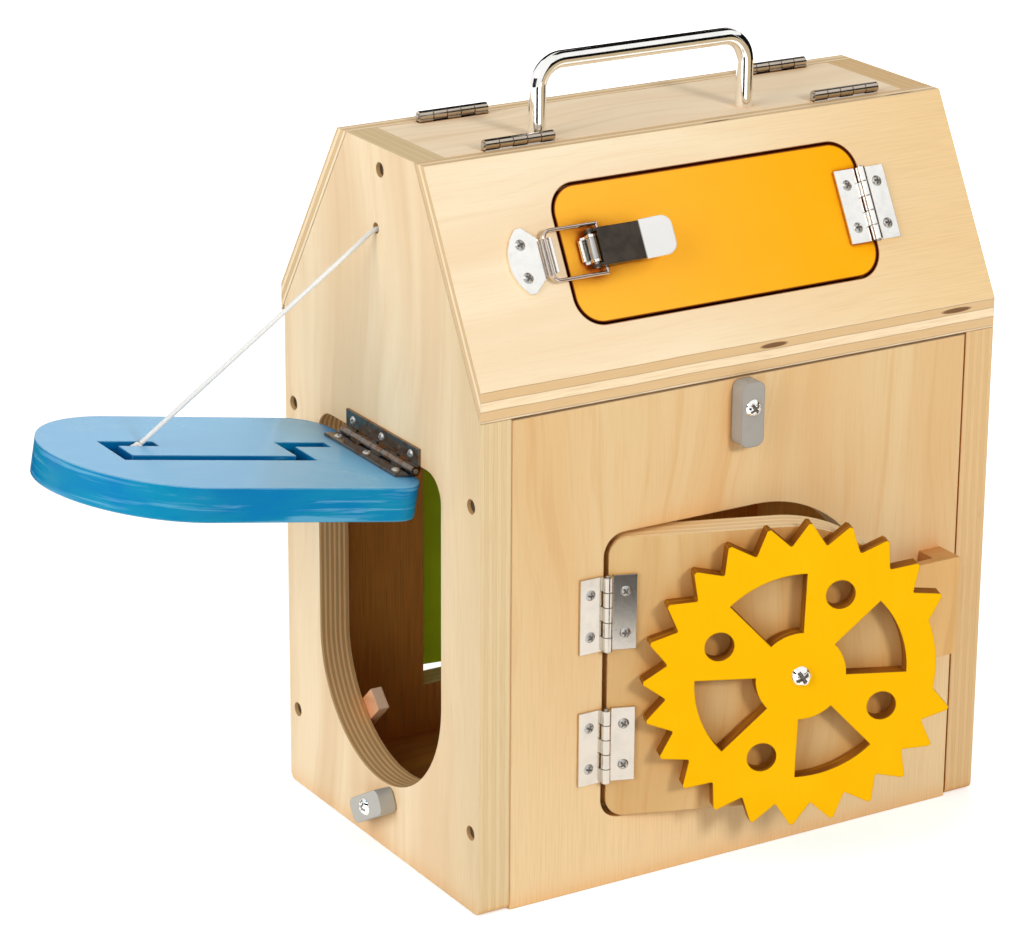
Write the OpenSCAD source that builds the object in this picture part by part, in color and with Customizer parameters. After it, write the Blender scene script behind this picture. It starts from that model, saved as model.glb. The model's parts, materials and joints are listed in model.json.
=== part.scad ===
// House-shaped wooden busy board: a lock and latch box with five doors.
// Millimetres, +Z up, front face toward -Y, origin at the middle of the base.

/* [House] */
// Outside width of the house, gable to gable
body_w = 240; // [200:1:300]
// Outside depth of the gables
body_d = 155; // [130:1:190]
// Thickness of the plywood boards
board_t = 13.5; // [9:0.5:16]
// Thickness of the two roof lids
roof_t = 6; // [4:0.5:9]
// Height of the front eave
front_eave_h = 202.5; // [180:0.5:225]
// Height of the rear eave
rear_eave_h = 209; // [185:0.5:230]
// Height of the flat ridge board's top
top_h = 292.4; // [270:0.2:320]
// Depth position where the front slope meets the ridge
front_break_y = 49.3; // [40:0.1:60]
// Depth position where the rear slope meets the ridge
rear_break_y = 101.6; // [92:0.1:112]
// Overhang of the rear lid behind the back face
rear_overhang = 2.5; // [0:0.5:6]
// Rounding of the gables' bottom corners
foot_r = 3; // [1:0.5:6]

/* [Fits] */
// Gap between pieces that seat on each other
seat_gap = 0.3; // [0.2:0.05:0.5]
// Radial running clearance of a pin in its bore
run_gap = 0.06; // [0.03:0.01:0.1]

/* [Hinges] */
// Thickness of a hinge leaf
leaf_t = 1.2; // [0.8:0.1:1.6]
// Outside radius of a hinge knuckle
knuckle_r = 2; // [1.8:0.1:2.6]
// Radius of a hinge pin
pin_r = 1; // [0.8:0.1:1.2]
// Length of the small butt hinges
hinge_l = 31; // [24:1:36]
// Reach of a small leaf from its pin
leaf_w = 11.8; // [9:0.2:13]
// Length of the drop door's hinge
drop_hinge_l = 57; // [45:1:66]
// Reach of the drop door's hinge leaves from the pin
drop_leaf_w = 8.7; // [7.4:0.1:10]
// Radius of a hinge screw's head
screw_head_r = 2.2; // [1.8:0.1:2.6]
// Radius of a hinge screw's shank
screw_r = 1.2; // [0.9:0.1:1.4]
// Distance of the small hinges' screws from the pin
screw_reach = 7.2; // [5.5:0.1:7.5]

/* [Roof lids] */
// Distance of the ridge hinges' middles from the left and the right side
ridge_hinge_inset = [46.5, 41];
// Position across the width of the hatch opening's left edge
hatch_x = 49; // [45:1:56]
// Width of the hatch opening
hatch_w = 142; // [125:1:150]
// Distance of the hatch opening from the lid's top edge, down the slope
hatch_v = 14.4; // [10:0.2:18]
// Height of the hatch opening along the slope
hatch_h = 56.2; // [48:0.2:60]
// Corner radius of the hatch opening
hatch_r = 12; // [6:1:18]
// Gap around the hatch
hatch_gap = 1; // [0.8:0.1:1.5]
// Length of the hatch hinge
hatch_hinge_l = 30; // [24:1:36]

/* [Draw latch] */
// Distance of the strike plate's outer end from the left of the house
strike_x = 25; // [22:0.5:28]
// Length of the strike plate up to its hook
strike_l = 18.2; // [16:0.2:21]
// Width of the strike plate
strike_w = 25.8; // [22:0.2:30]
// Height of the strike's hook above the lid
hook_h = 5; // [4:0.5:7]
// Width of the strike's hook
hook_w = 14; // [10:0.5:15]
// Distance of the lever's pivot from the left of the house
lever_x = 60.5; // [58:0.5:66]
// Height of the lever's pivot above the hatch
lever_pivot_h = 4.2; // [4:0.1:6]
// Length of the lever from its pivot to the tip
lever_l = 34; // [30:0.5:40]
// Width of the lever
lever_w = 14.8; // [13:0.2:18]
// Length of the lever's raised tip
lever_tip_l = 13; // [10:0.5:15]
// Angle by which the lever's tip rises
lever_tip_rise = 12; // [6:1:20]
// Distance from the lever's pivot to the bail's pivot
bail_offset = 4.2; // [3:0.1:5]
// Height of the bail above the hatch
bail_h = 3.4; // [3:0.1:4]
// Radius of the bail's wire
wire_r = 0.8; // [0.6:0.1:1.2]

/* [Gear door] */
// Left edge of the gear door's opening
gear_open_x = 55.3; // [50:0.5:60]
// Bottom of the gear door's opening
gear_open_z = 28.5; // [24:0.5:34]
// Height of the gear door's opening, twice the radius of its round end
gear_open_h = 120; // [110:1:130]
// Length of the straight part of the opening
gear_open_l = 70.5; // [62:0.5:72]
// Corner radius at the hinge side
gear_corner_r = 9; // [5:1:14]
// Gap around the gear door
gear_door_gap = 1.5; // [1.2:0.1:2]
// Angle by which the gear door stands ajar
gear_ajar = 19.5; // [5:0.5:30]
// Heights of the two hinges
gear_hinge_z = [61.2, 116.8];
// Distance of the gear's axle from the hinge pin
gear_reach = 76.7; // [74:0.1:80]
// Height of the gear's axle
gear_z = 87; // [84:0.5:92]
// Number of tooth places on the gear
tooth_count = 24;
// Tooth places left empty next to each other
gap_teeth = 2;
// Radius over the tooth tips
gear_tip_r = 63.5; // [61:0.5:64.5]
// Radius at the tooth roots
gear_root_r = 55; // [50:0.5:57]
// Width of the flat on a tooth tip
tooth_flat = 1.4; // [0.8:0.1:2.5]
// Thickness of the gear
gear_t = 6.2; // [5:0.1:7]
// Turn of the gear at rest
gear_turn = 20.7;
// Inner radius of the four windows
window_r0 = 18.3; // [14:0.1:22]
// Outer radius of the four windows
window_r1 = 43; // [36:0.5:46]
// Angle spanned by a window
window_angle = 45; // [30:1:60]
// Radius on which the four round holes lie
hole_ring_r = 36.5; // [32:0.5:40]
// Radius of a round hole
hole_r = 6; // [4:0.5:8]
// Radius of the gear axle screw
axle_r = 2.5; // [2:0.1:3]
// Radius of the gear axle screw's head
axle_head_r = 4.4; // [4:0.1:6]
// Thickness of the washer behind the gear
washer_t = 1.5; // [1:0.1:2]

/* [Gear keeper] */
// Left edge of the keeper block
keeper_x = 190; // [190:0.5:193]
// Width of the keeper block
keeper_w = 27.8; // [24:0.2:34]
// Bottom of the keeper block
keeper_z = 71; // [70:0.5:74]
// Height of the keeper block
keeper_h = 42; // [36:0.5:43]
// Reach of the slot that the gear's rim runs in, from the keeper's left edge
keeper_slot = 17.5; // [9:0.5:22]
// Thickness of the wall in front of the slot
keeper_wall = 4; // [3:0.5:6]

/* [Turn buttons] */
// Length of a turn button
button_l = 26.5; // [24:0.5:30]
// Width of a turn button
button_w = 10.5; // [9:0.5:13]
// Thickness of a turn button
button_t = 7; // [5:0.5:9]
// Corner radius of a turn button
button_r = 3.5; // [2:0.5:5]
// Radius of a button screw's shank
button_screw_r = 2; // [1.5:0.1:2.5]
// Radius of a button screw's head
button_head_r = 3.6; // [3:0.1:4.5]
// Depth of a button screw in the wood
button_screw_l = 10; // [6:0.5:12]
// Position across the width of the front button
front_button_x = 118.4; // [110:0.2:130]
// Distance of the front button's short end from its screw
front_button_short = 10.5; // [9:0.5:11.5]
// Offset of the side button from the middle of the side opening
side_button_shift = -0.9; // [-8:0.1:8]
// Height of the side button's screw
side_button_z = 18.5; // [17.5:0.1:18.8]
// Tilt of the side button from the horizontal
side_button_tilt = 30;

/* [Drop door] */
// Offset of the side opening's middle behind the middle of the gable
drop_shift = 1; // [-4:0.5:4]
// Width of the side opening, twice the radius of its round end
drop_w = 98.4; // [88:0.2:104]
// Top of the side opening
drop_top_z = 172.8; // [165:0.2:180]
// Bottom of the side opening
drop_bottom_z = 28.5; // [28:0.5:36]
// Corner radius at the top of the side opening
drop_corner_r = 11; // [6:1:16]
// Gap around the drop door
drop_gap = 1.7; // [1:0.1:2]
// Corner radius at the drop door's hinge end
drop_door_corner_r = 15; // [6:1:20]
// Angle by which the drop door stands open
drop_open = 100.3; // [80:0.1:110]
// Width of the maze slot
maze_w = 6.2; // [5.5:0.1:7.5]
// Corners of the maze slot: distance from the hinge line, offset from the door's middle
maze_path = [[93, 9.8], [110.3, 9.8], [110.3, -8.6], [33.7, -8.6], [33.7, 9.8], [17.5, 9.8]];
// Angle of the stop block below the level of the round end's middle
stop_angle = 44; // [30:1:55]
// Distance by which the stop block stands in the side opening
stop_reach = 9.4; // [6:0.2:12]
// Length of the stop block
stop_l = 22; // [16:0.5:24]
// Width of the stop block
stop_w = 9.5; // [7:0.5:12]
// Thickness of the stop block
stop_t = 5; // [4:0.5:8]

/* [Back door] */
// Left edge of the back opening
back_open_x = 56.5; // [50:0.5:62]
// Width of the back opening
back_open_w = 127.5; // [110:0.5:135]
// Bottom of the back opening
back_open_z = 35; // [30:0.5:40]
// Height of the back opening
back_open_h = 115; // [100:0.5:125]
// Gap around the back door
back_gap = 1.5; // [1.2:0.1:2]
// Angle by which the back door stands ajar
back_ajar = 8; // [2:0.5:15]
// Heights of the two back hinges
back_hinge_z = [62, 123];

/* [Handle] */
// Distance between the handle's legs, middle to middle
handle_l = 96; // [80:1:128]
// Middle of the handle across the width
handle_x = 107.8; // [100:0.2:120]
// Middle of the handle in the depth
handle_y = 58.5; // [57:0.5:70]
// Height of the handle's bar above the ridge board
handle_h = 29.3; // [26:0.1:40]
// Diameter of the handle's rod
handle_d = 6.8; // [6:0.1:10]
// Radius of the handle's bends
handle_bend = 10.5; // [8:0.5:14]
// Radius of the screws that hold the handle
handle_screw_r = 2; // [1.5:0.1:2.5]

/* [Case screws] */
// Radius of a recessed screw hole
recess_r = 3; // [2.5:0.1:3.5]
// Depth of a recessed screw hole
recess_d = 3; // [2:0.5:5]
// Distance of the corner screws from the edges
edge_inset = 6.8; // [6:0.1:9]
// Heights of the corner screws
case_screw_z = [33.5, 168.5];
// Depth of the ridge screw below the top
ridge_screw_d = 9; // [7:0.5:10]

/* [Cord] */
// Diameter of the cord
cord_d = 2; // [1.5:0.1:2.5]
// Offset of the cord's hole from the middle of the side opening
cord_shift = 0.2; // [-6:0.1:6]
// Depth of the cord's hole below the ridge board's top
cord_drop = 32.8; // [26:0.2:40]
// Radius of the cord's hole
cord_hole_r = 2.2; // [1.8:0.1:3]

/* [Hidden] */
$fn = 48;

front_a = atan2(top_h - front_eave_h, front_break_y);
rear_a = atan2(top_h - rear_eave_h, body_d - rear_break_y);
inside_w = body_w - 2 * board_t;
drop_y = body_d / 2 + drop_shift;
side_button_y = drop_y + side_button_shift;
cord_y = drop_y + cord_shift;
cord_z = top_h - cord_drop;
ridge_hinge_x = [ridge_hinge_inset[0], body_w - ridge_hinge_inset[1]];
latch_screw_x = [8, 18];
ear_r = knuckle_r - 0.1;
axis_off = knuckle_r + seat_gap;
front_out = roof_t + seat_gap;
front_top_y = front_break_y - front_out / sin(front_a);
rear_top_y = rear_break_y + front_out / sin(rear_a);
front_lid_l = front_top_y / cos(front_a);
ridge_axis_z = top_h + axis_off;
front_axis_y = front_break_y + 1.2;
rear_axis_y = rear_break_y - 1.2;
pocket_d = 2 * leaf_t + 2 * seat_gap;
hatch_axis_x = hatch_x + hatch_w - hatch_gap / 2;
latch_v = hatch_v + 27.4;
bail_x = lever_x + bail_offset;
hook_x = strike_x + strike_l;
bail_half = lever_w / 2 + 2.4;
gear_axis_x = gear_open_x + gear_door_gap / 2;
gear_round_x = gear_open_x + gear_open_l;
gear_round_z = gear_open_z + gear_open_h / 2;
gear_back_y = -washer_t - seat_gap;
gear_front_y = gear_back_y - gear_t;
keeper_t = keeper_wall - gear_front_y + 1.5;
front_panel_h = front_eave_h - seat_gap;
front_button_z = front_eave_h - 0.4 - front_button_short;
drop_axis_z = drop_top_z - 1.5;
drop_round_z = drop_bottom_z + drop_w / 2;
drop_door_r = drop_w / 2 - drop_gap;
drop_door_top = drop_top_z - 0.9;
drop_door_bottom = drop_bottom_z + 2.4;
drop_hinge_y = drop_y - 5.3;
drop_screw_reach = drop_leaf_w - 3.4;
strike_screw_x = strike_x + 6.4;
back_axis_x = back_open_x + back_open_w - back_gap / 2;
cord_start = [board_t + 6.5, cord_y, cord_z];
cord_bend = [-1.2, cord_y, cord_z - 0.6];
cord_slot = [-97.5, 88.1, 186.5];

// The boards are laid out from the house's front left bottom corner.
module from_corner() { translate([-body_w / 2, -body_d / 2, 0]) children(); }
module yz_plate(x, t) { translate([x, 0, 0]) rotate([90, 0, 90]) linear_extrude(t) children(); }
module xz_plate(y, t) { translate([0, y + t, 0]) rotate([90, 0, 0]) linear_extrude(t) children(); }
module on_front_slope() { translate([0, front_top_y, top_h]) rotate([front_a, 0, 0]) children(); }
module on_rear_slope() { translate([0, rear_top_y, top_h]) rotate([-rear_a, 0, 0]) children(); }

module rounded_rect(w, h, r) {
  translate([r, 0]) square([w - 2 * r, h]);
  translate([0, r]) square([w, h - 2 * r]);
  for (x = [r, w - r], y = [r, h - r]) translate([x, y]) circle(r);
}

// A hinge leaf on a pin along X: the leaf reaches toward +Y, its underside at height drop.
module hinge_leaf(l, w, drop, n, outer, reach, holes) {
  seg = l / n;
  difference() {
    union() {
      translate([-l / 2, knuckle_r + seat_gap, drop])
        cube([l, w - knuckle_r - seat_gap, leaf_t]);
      for (i = [0 : n - 1]) if ((i % 2 == 0) == outer)
        translate([-l / 2 + i * seg + seat_gap / 2, 0, 0]) {
          translate([0, 0, drop]) cube([seg - seat_gap, knuckle_r + 1, leaf_t]);
          rotate([0, 90, 0]) cylinder(r = knuckle_r, h = seg - seat_gap);
        }
    }
    translate([-l / 2 - 1, 0, 0]) rotate([0, 90, 0]) cylinder(r = pin_r + run_gap, h = l + 2);
    for (x = holes) translate([x, reach, drop - 1]) cylinder(r = screw_r + 0.1, h = leaf_t + 2);
  }
}
module face_leaf(outer) {
  hinge_leaf(hinge_l, leaf_w, axis_off - leaf_t, 5, outer, screw_reach,
    [-hinge_l * 0.28, hinge_l * 0.28]);
}
module drop_leaf(outer) {
  hinge_leaf(drop_hinge_l, drop_leaf_w, axis_off - leaf_t, 7, outer, drop_screw_reach,
    [-drop_hinge_l * 0.4, 0, drop_hinge_l * 0.4]);
}
module hinge_pin(l) {
  translate([-l / 2 - 0.5, 0, 0]) rotate([0, 90, 0]) cylinder(r = pin_r, h = l + 1);
}
// A screw whose head rests at z = 0 and whose shank fills the leaf below it.
module leaf_screw() {
  rotate_extrude() polygon([[0, -leaf_t], [screw_r, -leaf_t], [screw_r, 0], [screw_head_r, 0],
    [screw_head_r - 0.3, 0.6], [screw_head_r * 0.5, 1], [0, 1.1]]);
}
// Screws of a small leaf, in the leaf's own frame; the head points to -Z.
module face_leaf_screws() {
  for (x = [-hinge_l * 0.28, hinge_l * 0.28])
    translate([x, screw_reach, axis_off - leaf_t]) rotate([180, 0, 0]) leaf_screw();
}
module drop_leaf_screws() {
  for (x = [-drop_hinge_l * 0.4, 0, drop_hinge_l * 0.4])
    translate([x, drop_screw_reach, axis_off - leaf_t]) rotate([180, 0, 0]) leaf_screw();
}
// Pin frames: pin along X, the closed door toward +Y, the outside toward -Z.
module gear_pin_frame(z) { translate([gear_axis_x, -axis_off, z]) rotate([0, -90, -90]) children(); }
module back_pin_frame(z) {
  translate([back_axis_x, body_d + axis_off, z]) rotate([0, -90, 90]) children();
}
module drop_pin_frame() {
  translate([-axis_off, drop_hinge_y, drop_axis_z]) rotate([90, 0, 90]) mirror([0, 1, 0]) children();
}
module hatch_pin_frame() {
  on_front_slope() translate([hatch_axis_x, -latch_v, axis_off]) rotate(a = 180, v = [-1, 1, 0])
    children();
}
module gear_door_turn() {
  translate([gear_axis_x, -axis_off, 0]) rotate([0, 0, -gear_ajar])
    translate([-gear_axis_x, axis_off, 0]) children();
}
module back_door_turn() {
  translate([back_axis_x, body_d + axis_off, 0]) rotate([0, 0, -back_ajar])
    translate([-back_axis_x, -body_d - axis_off, 0]) children();
}
module drop_door_turn() {
  translate([-axis_off, 0, drop_axis_z]) rotate([0, drop_open, 0])
    translate([axis_off, 0, -drop_axis_z]) children();
}

module gable_outline() {
  difference() {
    polygon([[0, 0], [body_d, 0], [body_d, rear_eave_h], [rear_break_y, top_h],
      [front_break_y, top_h], [0, front_eave_h]]);
    for (s = [0, 1]) translate([s * body_d, 0]) mirror([s, 0]) difference() {
      translate([-1, -1]) square(foot_r + 1);
      translate([foot_r, foot_r]) circle(foot_r);
    }
  }
}
module case_screw_places() {
  for (z = case_screw_z, y = [edge_inset, body_d - edge_inset]) translate([0, y, z]) children();
  translate([0, (front_break_y + rear_break_y) / 2, top_h - ridge_screw_d]) children();
}
// Bores of the case screws in a gable whose outer face is at x = 0.
module case_screw_bores() {
  case_screw_places() rotate([0, 90, 0]) {
    translate([0, 0, -1]) cylinder(r = recess_r, h = recess_d + 1);
    cylinder(r = screw_r + 0.4, h = board_t + 1);
  }
}
module drop_outline(r, z0, z1, corner) {
  hull_w = 2 * r;
  translate([drop_y, z0 + r]) circle(r, $fn = 96);
  translate([drop_y - r, z0 + r]) square([hull_w, z1 - z0 - r - corner]);
  translate([drop_y - r + corner, z0 + r]) square([hull_w - 2 * corner, z1 - z0 - r]);
  for (s = [-1, 1]) translate([drop_y + s * (r - corner), z1 - corner]) circle(corner);
}

module left_gable() {
  color([0.95, 0.86, 0.70]) from_corner() difference() {
    yz_plate(0, board_t) difference() {
      gable_outline();
      drop_outline(drop_w / 2, drop_bottom_z, drop_top_z, drop_corner_r);
    }
    case_screw_bores();
    translate([-1, cord_y, cord_z]) rotate([0, 90, 0]) cylinder(r = cord_hole_r, h = board_t + 2);
    translate([-1, side_button_y, side_button_z]) rotate([0, 90, 0])
      cylinder(r = button_screw_r + 0.05, h = button_screw_l + 1.3);
  }
}
module right_gable() {
  color([0.95, 0.86, 0.70]) from_corner() difference() {
    yz_plate(body_w - board_t, board_t) gable_outline();
    translate([body_w, 0, 0]) mirror([1, 0, 0]) case_screw_bores();
  }
}
module gear_door_outline(g) {
  r = gear_open_h / 2 - g;
  c = gear_corner_r - g;
  translate([gear_round_x, gear_round_z]) circle(r, $fn = 96);
  translate([gear_open_x + g + c, gear_open_z + g]) square([gear_open_l - g - c, 2 * r]);
  translate([gear_open_x + g, gear_open_z + g + c]) square([gear_open_l - g, 2 * (r - c)]);
  for (s = [-1, 1]) translate([gear_open_x + g + c, gear_round_z + s * (r - c)]) circle(c);
}
module front_panel() {
  color([0.93, 0.82, 0.62]) from_corner() difference() {
    xz_plate(0, board_t) difference() {
      translate([board_t + seat_gap, 0]) square([inside_w - 2 * seat_gap, front_panel_h]);
      gear_door_outline(0);
    }
    for (x = [board_t + seat_gap, body_w - board_t - seat_gap]) translate([x, 0, -1])
      rotate([0, 0, 45]) translate([-0.45, -0.45, 0]) cube([0.9, 0.9, front_panel_h + 2]);
    translate([front_button_x, -1, front_button_z]) rotate([-90, 0, 0])
      cylinder(r = button_screw_r + 0.05, h = button_screw_l + 1.3);
  }
}
module back_panel() {
  color([0.93, 0.82, 0.62]) from_corner() xz_plate(body_d - board_t, board_t) difference() {
    translate([board_t, 0]) square([inside_w, rear_eave_h - seat_gap]);
    translate([back_open_x, back_open_z]) square([back_open_w, back_open_h]);
  }
}
module floor_board() {
  color([0.90, 0.78, 0.58]) from_corner()
    translate([board_t, board_t, 0]) cube([inside_w, body_d - 2 * board_t, board_t]);
}
// The ridge board lies between the gables; its long edges follow the slopes and have
// pockets for the hinge leaves.
module ridge_pocket(under) {
  translate([-hinge_l / 2 - seat_gap, -knuckle_r - seat_gap, under - pocket_d])
    cube([hinge_l + 2 * seat_gap, leaf_w + knuckle_r + 2 * seat_gap, pocket_d + 2]);
}
module ridge_board() {
  front_y = front_break_y + seat_gap / sin(front_a);
  rear_y = rear_break_y - seat_gap / sin(rear_a);
  color([0.96, 0.87, 0.72]) from_corner() difference() {
    yz_plate(board_t, inside_w) polygon([[front_y, top_h], [rear_y, top_h],
      [rear_y + board_t / tan(rear_a), top_h - board_t],
      [front_y - board_t / tan(front_a), top_h - board_t]]);
    for (x = ridge_hinge_x) {
      front_ridge_frame(x) ridge_pocket(front_under);
      rear_ridge_frame(x) ridge_pocket(rear_under);
    }
    for (s = [-1, 1]) translate([handle_x + s * handle_l / 2, handle_y, top_h - board_t - 1])
      cylinder(r = handle_screw_r + 0.1, h = board_t + 2);
  }
}
module case_screw() {
  rotate([0, 90, 0]) {
    translate([0, 0, recess_d - 1.4]) cylinder(r = recess_r - 0.3, h = 1.4);
    cylinder(r = screw_r, h = board_t);
  }
}
module case_screws() {
  color([0.55, 0.56, 0.58]) from_corner() {
    case_screw_places() intersection() {
      case_screw();
      translate([recess_d - 1.4, -5, -5]) cube([board_t, 10, 10]);
    }
    translate([body_w, 0, 0]) mirror([1, 0, 0]) case_screw_places() intersection() {
      case_screw();
      translate([recess_d - 1.4, -5, -5]) cube([board_t, 10, 10]);
    }
  }
}
// The keeper's rebate takes the gear's teeth; only the toothless part of the rim can pass.
module gear_keeper() {
  color([0.94, 0.84, 0.64]) from_corner() difference() {
    translate([keeper_x, -keeper_t, keeper_z]) cube([keeper_w, keeper_t, keeper_h]);
    translate([keeper_x - 1, -keeper_t + keeper_wall, keeper_z - 1])
      cube([keeper_slot + 1, keeper_t, keeper_h + 2]);
  }
}
// A block behind the side opening's round rim stops the drop door when it closes.
module stop_block() {
  color([0.96, 0.86, 0.68]) from_corner() translate([board_t + seat_gap, drop_y, drop_round_z])
    rotate([-stop_angle, 0, 0]) translate([0, drop_w / 2 - stop_reach, -stop_w / 2])
      cube([stop_t, stop_l, stop_w]);
}

module handle() {
  color([0.82, 0.83, 0.85]) from_corner() translate([handle_x, handle_y, top_h]) {
    for (s = [0, 1]) mirror([s, 0, 0]) {
      translate([handle_l / 2, 0, 0]) difference() {
        cylinder(d = handle_d, h = handle_h - handle_bend);
        translate([0, 0, -1]) cylinder(r = handle_screw_r + 0.06, h = 11);
      }
      translate([handle_l / 2 - handle_bend, 0, handle_h - handle_bend]) rotate([90, 0, 0])
        rotate_extrude(angle = 90) translate([handle_bend, 0]) circle(d = handle_d);
      translate([0, 0, handle_h]) rotate([0, 90, 0])
        cylinder(d = handle_d, h = handle_l / 2 - handle_bend);
    }
  }
}
module handle_screws() {
  color([0.60, 0.60, 0.62]) from_corner() for (s = [-1, 1])
    translate([handle_x + s * handle_l / 2, handle_y, top_h - board_t]) {
      translate([0, 0, -1.8]) cylinder(r = handle_screw_r * 2, h = 1.8);
      cylinder(r = handle_screw_r, h = board_t + 8);
    }
}

// Ridge hinges: both leaves hang in the joint between the lid and the ridge board.
module front_ridge_frame(x) {
  on_front_slope() translate([x, (front_axis_y - front_top_y) * cos(front_a) + axis_off * sin(front_a),
    (front_top_y - front_axis_y) * sin(front_a) + axis_off * cos(front_a)])
    rotate([0, 0, 180]) children();
}
module rear_ridge_frame(x) {
  on_rear_slope() translate([x, (rear_axis_y - rear_top_y) * cos(rear_a) - axis_off * sin(rear_a),
    (rear_axis_y - rear_top_y) * sin(rear_a) + axis_off * cos(rear_a)]) children();
}
// Height of a roof lid's underside in a ridge hinge's frame
front_under = (front_axis_y - front_top_y) * sin(front_a) - axis_off * cos(front_a) - roof_t;
rear_under = (rear_top_y - rear_axis_y) * sin(rear_a) - axis_off * cos(rear_a) - roof_t;
module ridge_leaf(under, outer) {
  hinge_leaf(hinge_l, leaf_w, under - (outer ? 2 * leaf_t + seat_gap : leaf_t), 5, outer,
    screw_reach, []);
}
module ridge_fixed_leaves() {
  color([0.72, 0.73, 0.75]) from_corner() for (x = ridge_hinge_x) {
    front_ridge_frame(x) ridge_leaf(front_under, true);
    rear_ridge_frame(x) ridge_leaf(rear_under, true);
  }
}
module ridge_pins() {
  color([0.60, 0.61, 0.63]) from_corner() for (x = ridge_hinge_x) {
    front_ridge_frame(x) hinge_pin(hinge_l);
    rear_ridge_frame(x) hinge_pin(hinge_l);
  }
}
module front_lid_leaves() {
  color([0.72, 0.73, 0.75]) from_corner() for (x = ridge_hinge_x)
    front_ridge_frame(x) ridge_leaf(front_under, false);
}
module rear_lid_leaves() {
  color([0.72, 0.73, 0.75]) from_corner() for (x = ridge_hinge_x)
    rear_ridge_frame(x) ridge_leaf(rear_under, false);
}

module front_lid() {
  low = front_eave_h + seat_gap / cos(front_a);
  color([0.97, 0.89, 0.76]) from_corner() difference() {
    yz_plate(0, body_w) polygon([[0, low], [front_break_y - seat_gap / sin(front_a), top_h],
      [front_top_y, top_h], [0, front_eave_h + front_out / cos(front_a)]]);
    on_front_slope() translate([hatch_x, -hatch_v - hatch_h, -roof_t - 1])
      linear_extrude(roof_t + 2) rounded_rect(hatch_w, hatch_h, hatch_r);
  }
}
module rear_lid() {
  end_y = body_d + rear_overhang;
  end_z = rear_eave_h - rear_overhang * tan(rear_a);
  color([0.97, 0.89, 0.76]) from_corner() yz_plate(0, body_w)
    polygon([[end_y, end_z + seat_gap / cos(rear_a)], [end_y, end_z + front_out / cos(rear_a)],
      [rear_top_y, top_h], [rear_break_y + seat_gap / sin(rear_a), top_h]]);
}
module hatch() {
  color([0.98, 0.66, 0.12]) from_corner() on_front_slope()
    translate([hatch_x + hatch_gap, -hatch_v - hatch_h + hatch_gap, -roof_t]) linear_extrude(roof_t)
      rounded_rect(hatch_w - 2 * hatch_gap, hatch_h - 2 * hatch_gap, hatch_r - hatch_gap);
}
module hatch_leaf_part(outer) {
  hinge_leaf(hatch_hinge_l, leaf_w, axis_off - leaf_t, 5, outer, screw_reach,
    [-hatch_hinge_l * 0.29, hatch_hinge_l * 0.29]);
}
module hatch_leaf_screws() {
  for (x = [-hatch_hinge_l * 0.29, hatch_hinge_l * 0.29])
    translate([x, screw_reach, axis_off - leaf_t]) rotate([180, 0, 0]) leaf_screw();
}
module hatch_leaf() {
  color([0.72, 0.73, 0.75]) from_corner() hatch_pin_frame() hatch_leaf_part(false);
}
module hatch_lid_leaf() {
  color([0.72, 0.73, 0.75]) from_corner() hatch_pin_frame() mirror([0, 1, 0]) hatch_leaf_part(true);
}
module hatch_pin() {
  color([0.60, 0.61, 0.63]) from_corner() hatch_pin_frame() hinge_pin(hatch_hinge_l);
}
module hatch_screws() {
  color([0.80, 0.80, 0.82]) from_corner() hatch_pin_frame() hatch_leaf_screws();
}
module hatch_lid_screws() {
  color([0.80, 0.80, 0.82]) from_corner() hatch_pin_frame() mirror([0, 1, 0]) hatch_leaf_screws();
}

// Draw latch, laid out on the slope with X across and v down the slope.
module on_latch() { on_front_slope() translate([0, -latch_v, 0]) children(); }
module strike_plate() {
  r = strike_w * 0.65;
  tab = strike_l - 3;
  color([0.80, 0.81, 0.83]) from_corner() on_latch() difference() {
    union() {
      linear_extrude(leaf_t) translate([strike_x, 0]) intersection() {
        translate([r, 0]) circle(r, $fn = 96);
        polygon([[0, -strike_w / 2], [tab * 0.55, -strike_w / 2], [tab, -hook_w / 2],
          [strike_l, -hook_w / 2], [strike_l, hook_w / 2], [tab, hook_w / 2],
          [tab * 0.55, strike_w / 2], [0, strike_w / 2]]);
      }
      translate([hook_x - leaf_t, -hook_w / 2, 0]) cube([leaf_t, hook_w, hook_h]);
    }
    for (s = [-1, 1]) translate([strike_screw_x, s * strike_w / 4, -1])
      cylinder(r = screw_r + 0.1, h = leaf_t + 2);
  }
}
module strike_screws() {
  color([0.80, 0.80, 0.82]) from_corner() on_latch() for (s = [-1, 1])
    translate([strike_screw_x, s * strike_w / 4, leaf_t]) leaf_screw();
}
module latch_base() {
  half = lever_w / 2 - 2;
  color([0.70, 0.71, 0.73]) from_corner() on_latch() difference() {
    union() {
      translate([lever_x - 3, -half, 0]) cube([26, 2 * half, leaf_t]);
      translate([lever_x - 3.2, -half + leaf_t, leaf_t]) rotate([-90, 0, 0])
        cylinder(r = leaf_t - 0.1, h = 2 * (half - leaf_t));
      for (s = [-1, 1]) translate([lever_x - ear_r, s > 0 ? half - leaf_t : -half, 0]) {
        cube([2 * ear_r, leaf_t, lever_pivot_h]);
        translate([ear_r, 0, lever_pivot_h]) rotate([-90, 0, 0]) cylinder(r = ear_r, h = leaf_t);
      }
    }
    translate([lever_x, 10, lever_pivot_h]) rotate([90, 0, 0]) cylinder(r = pin_r + run_gap, h = 20);
    for (x = latch_screw_x) translate([lever_x + x, 0, -1]) cylinder(r = screw_r + 0.1, h = leaf_t + 2);
  }
}
module latch_base_screws() {
  color([0.80, 0.80, 0.82]) from_corner() on_latch() for (x = latch_screw_x)
    translate([lever_x + x, 0, leaf_t]) leaf_screw();
}
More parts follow.
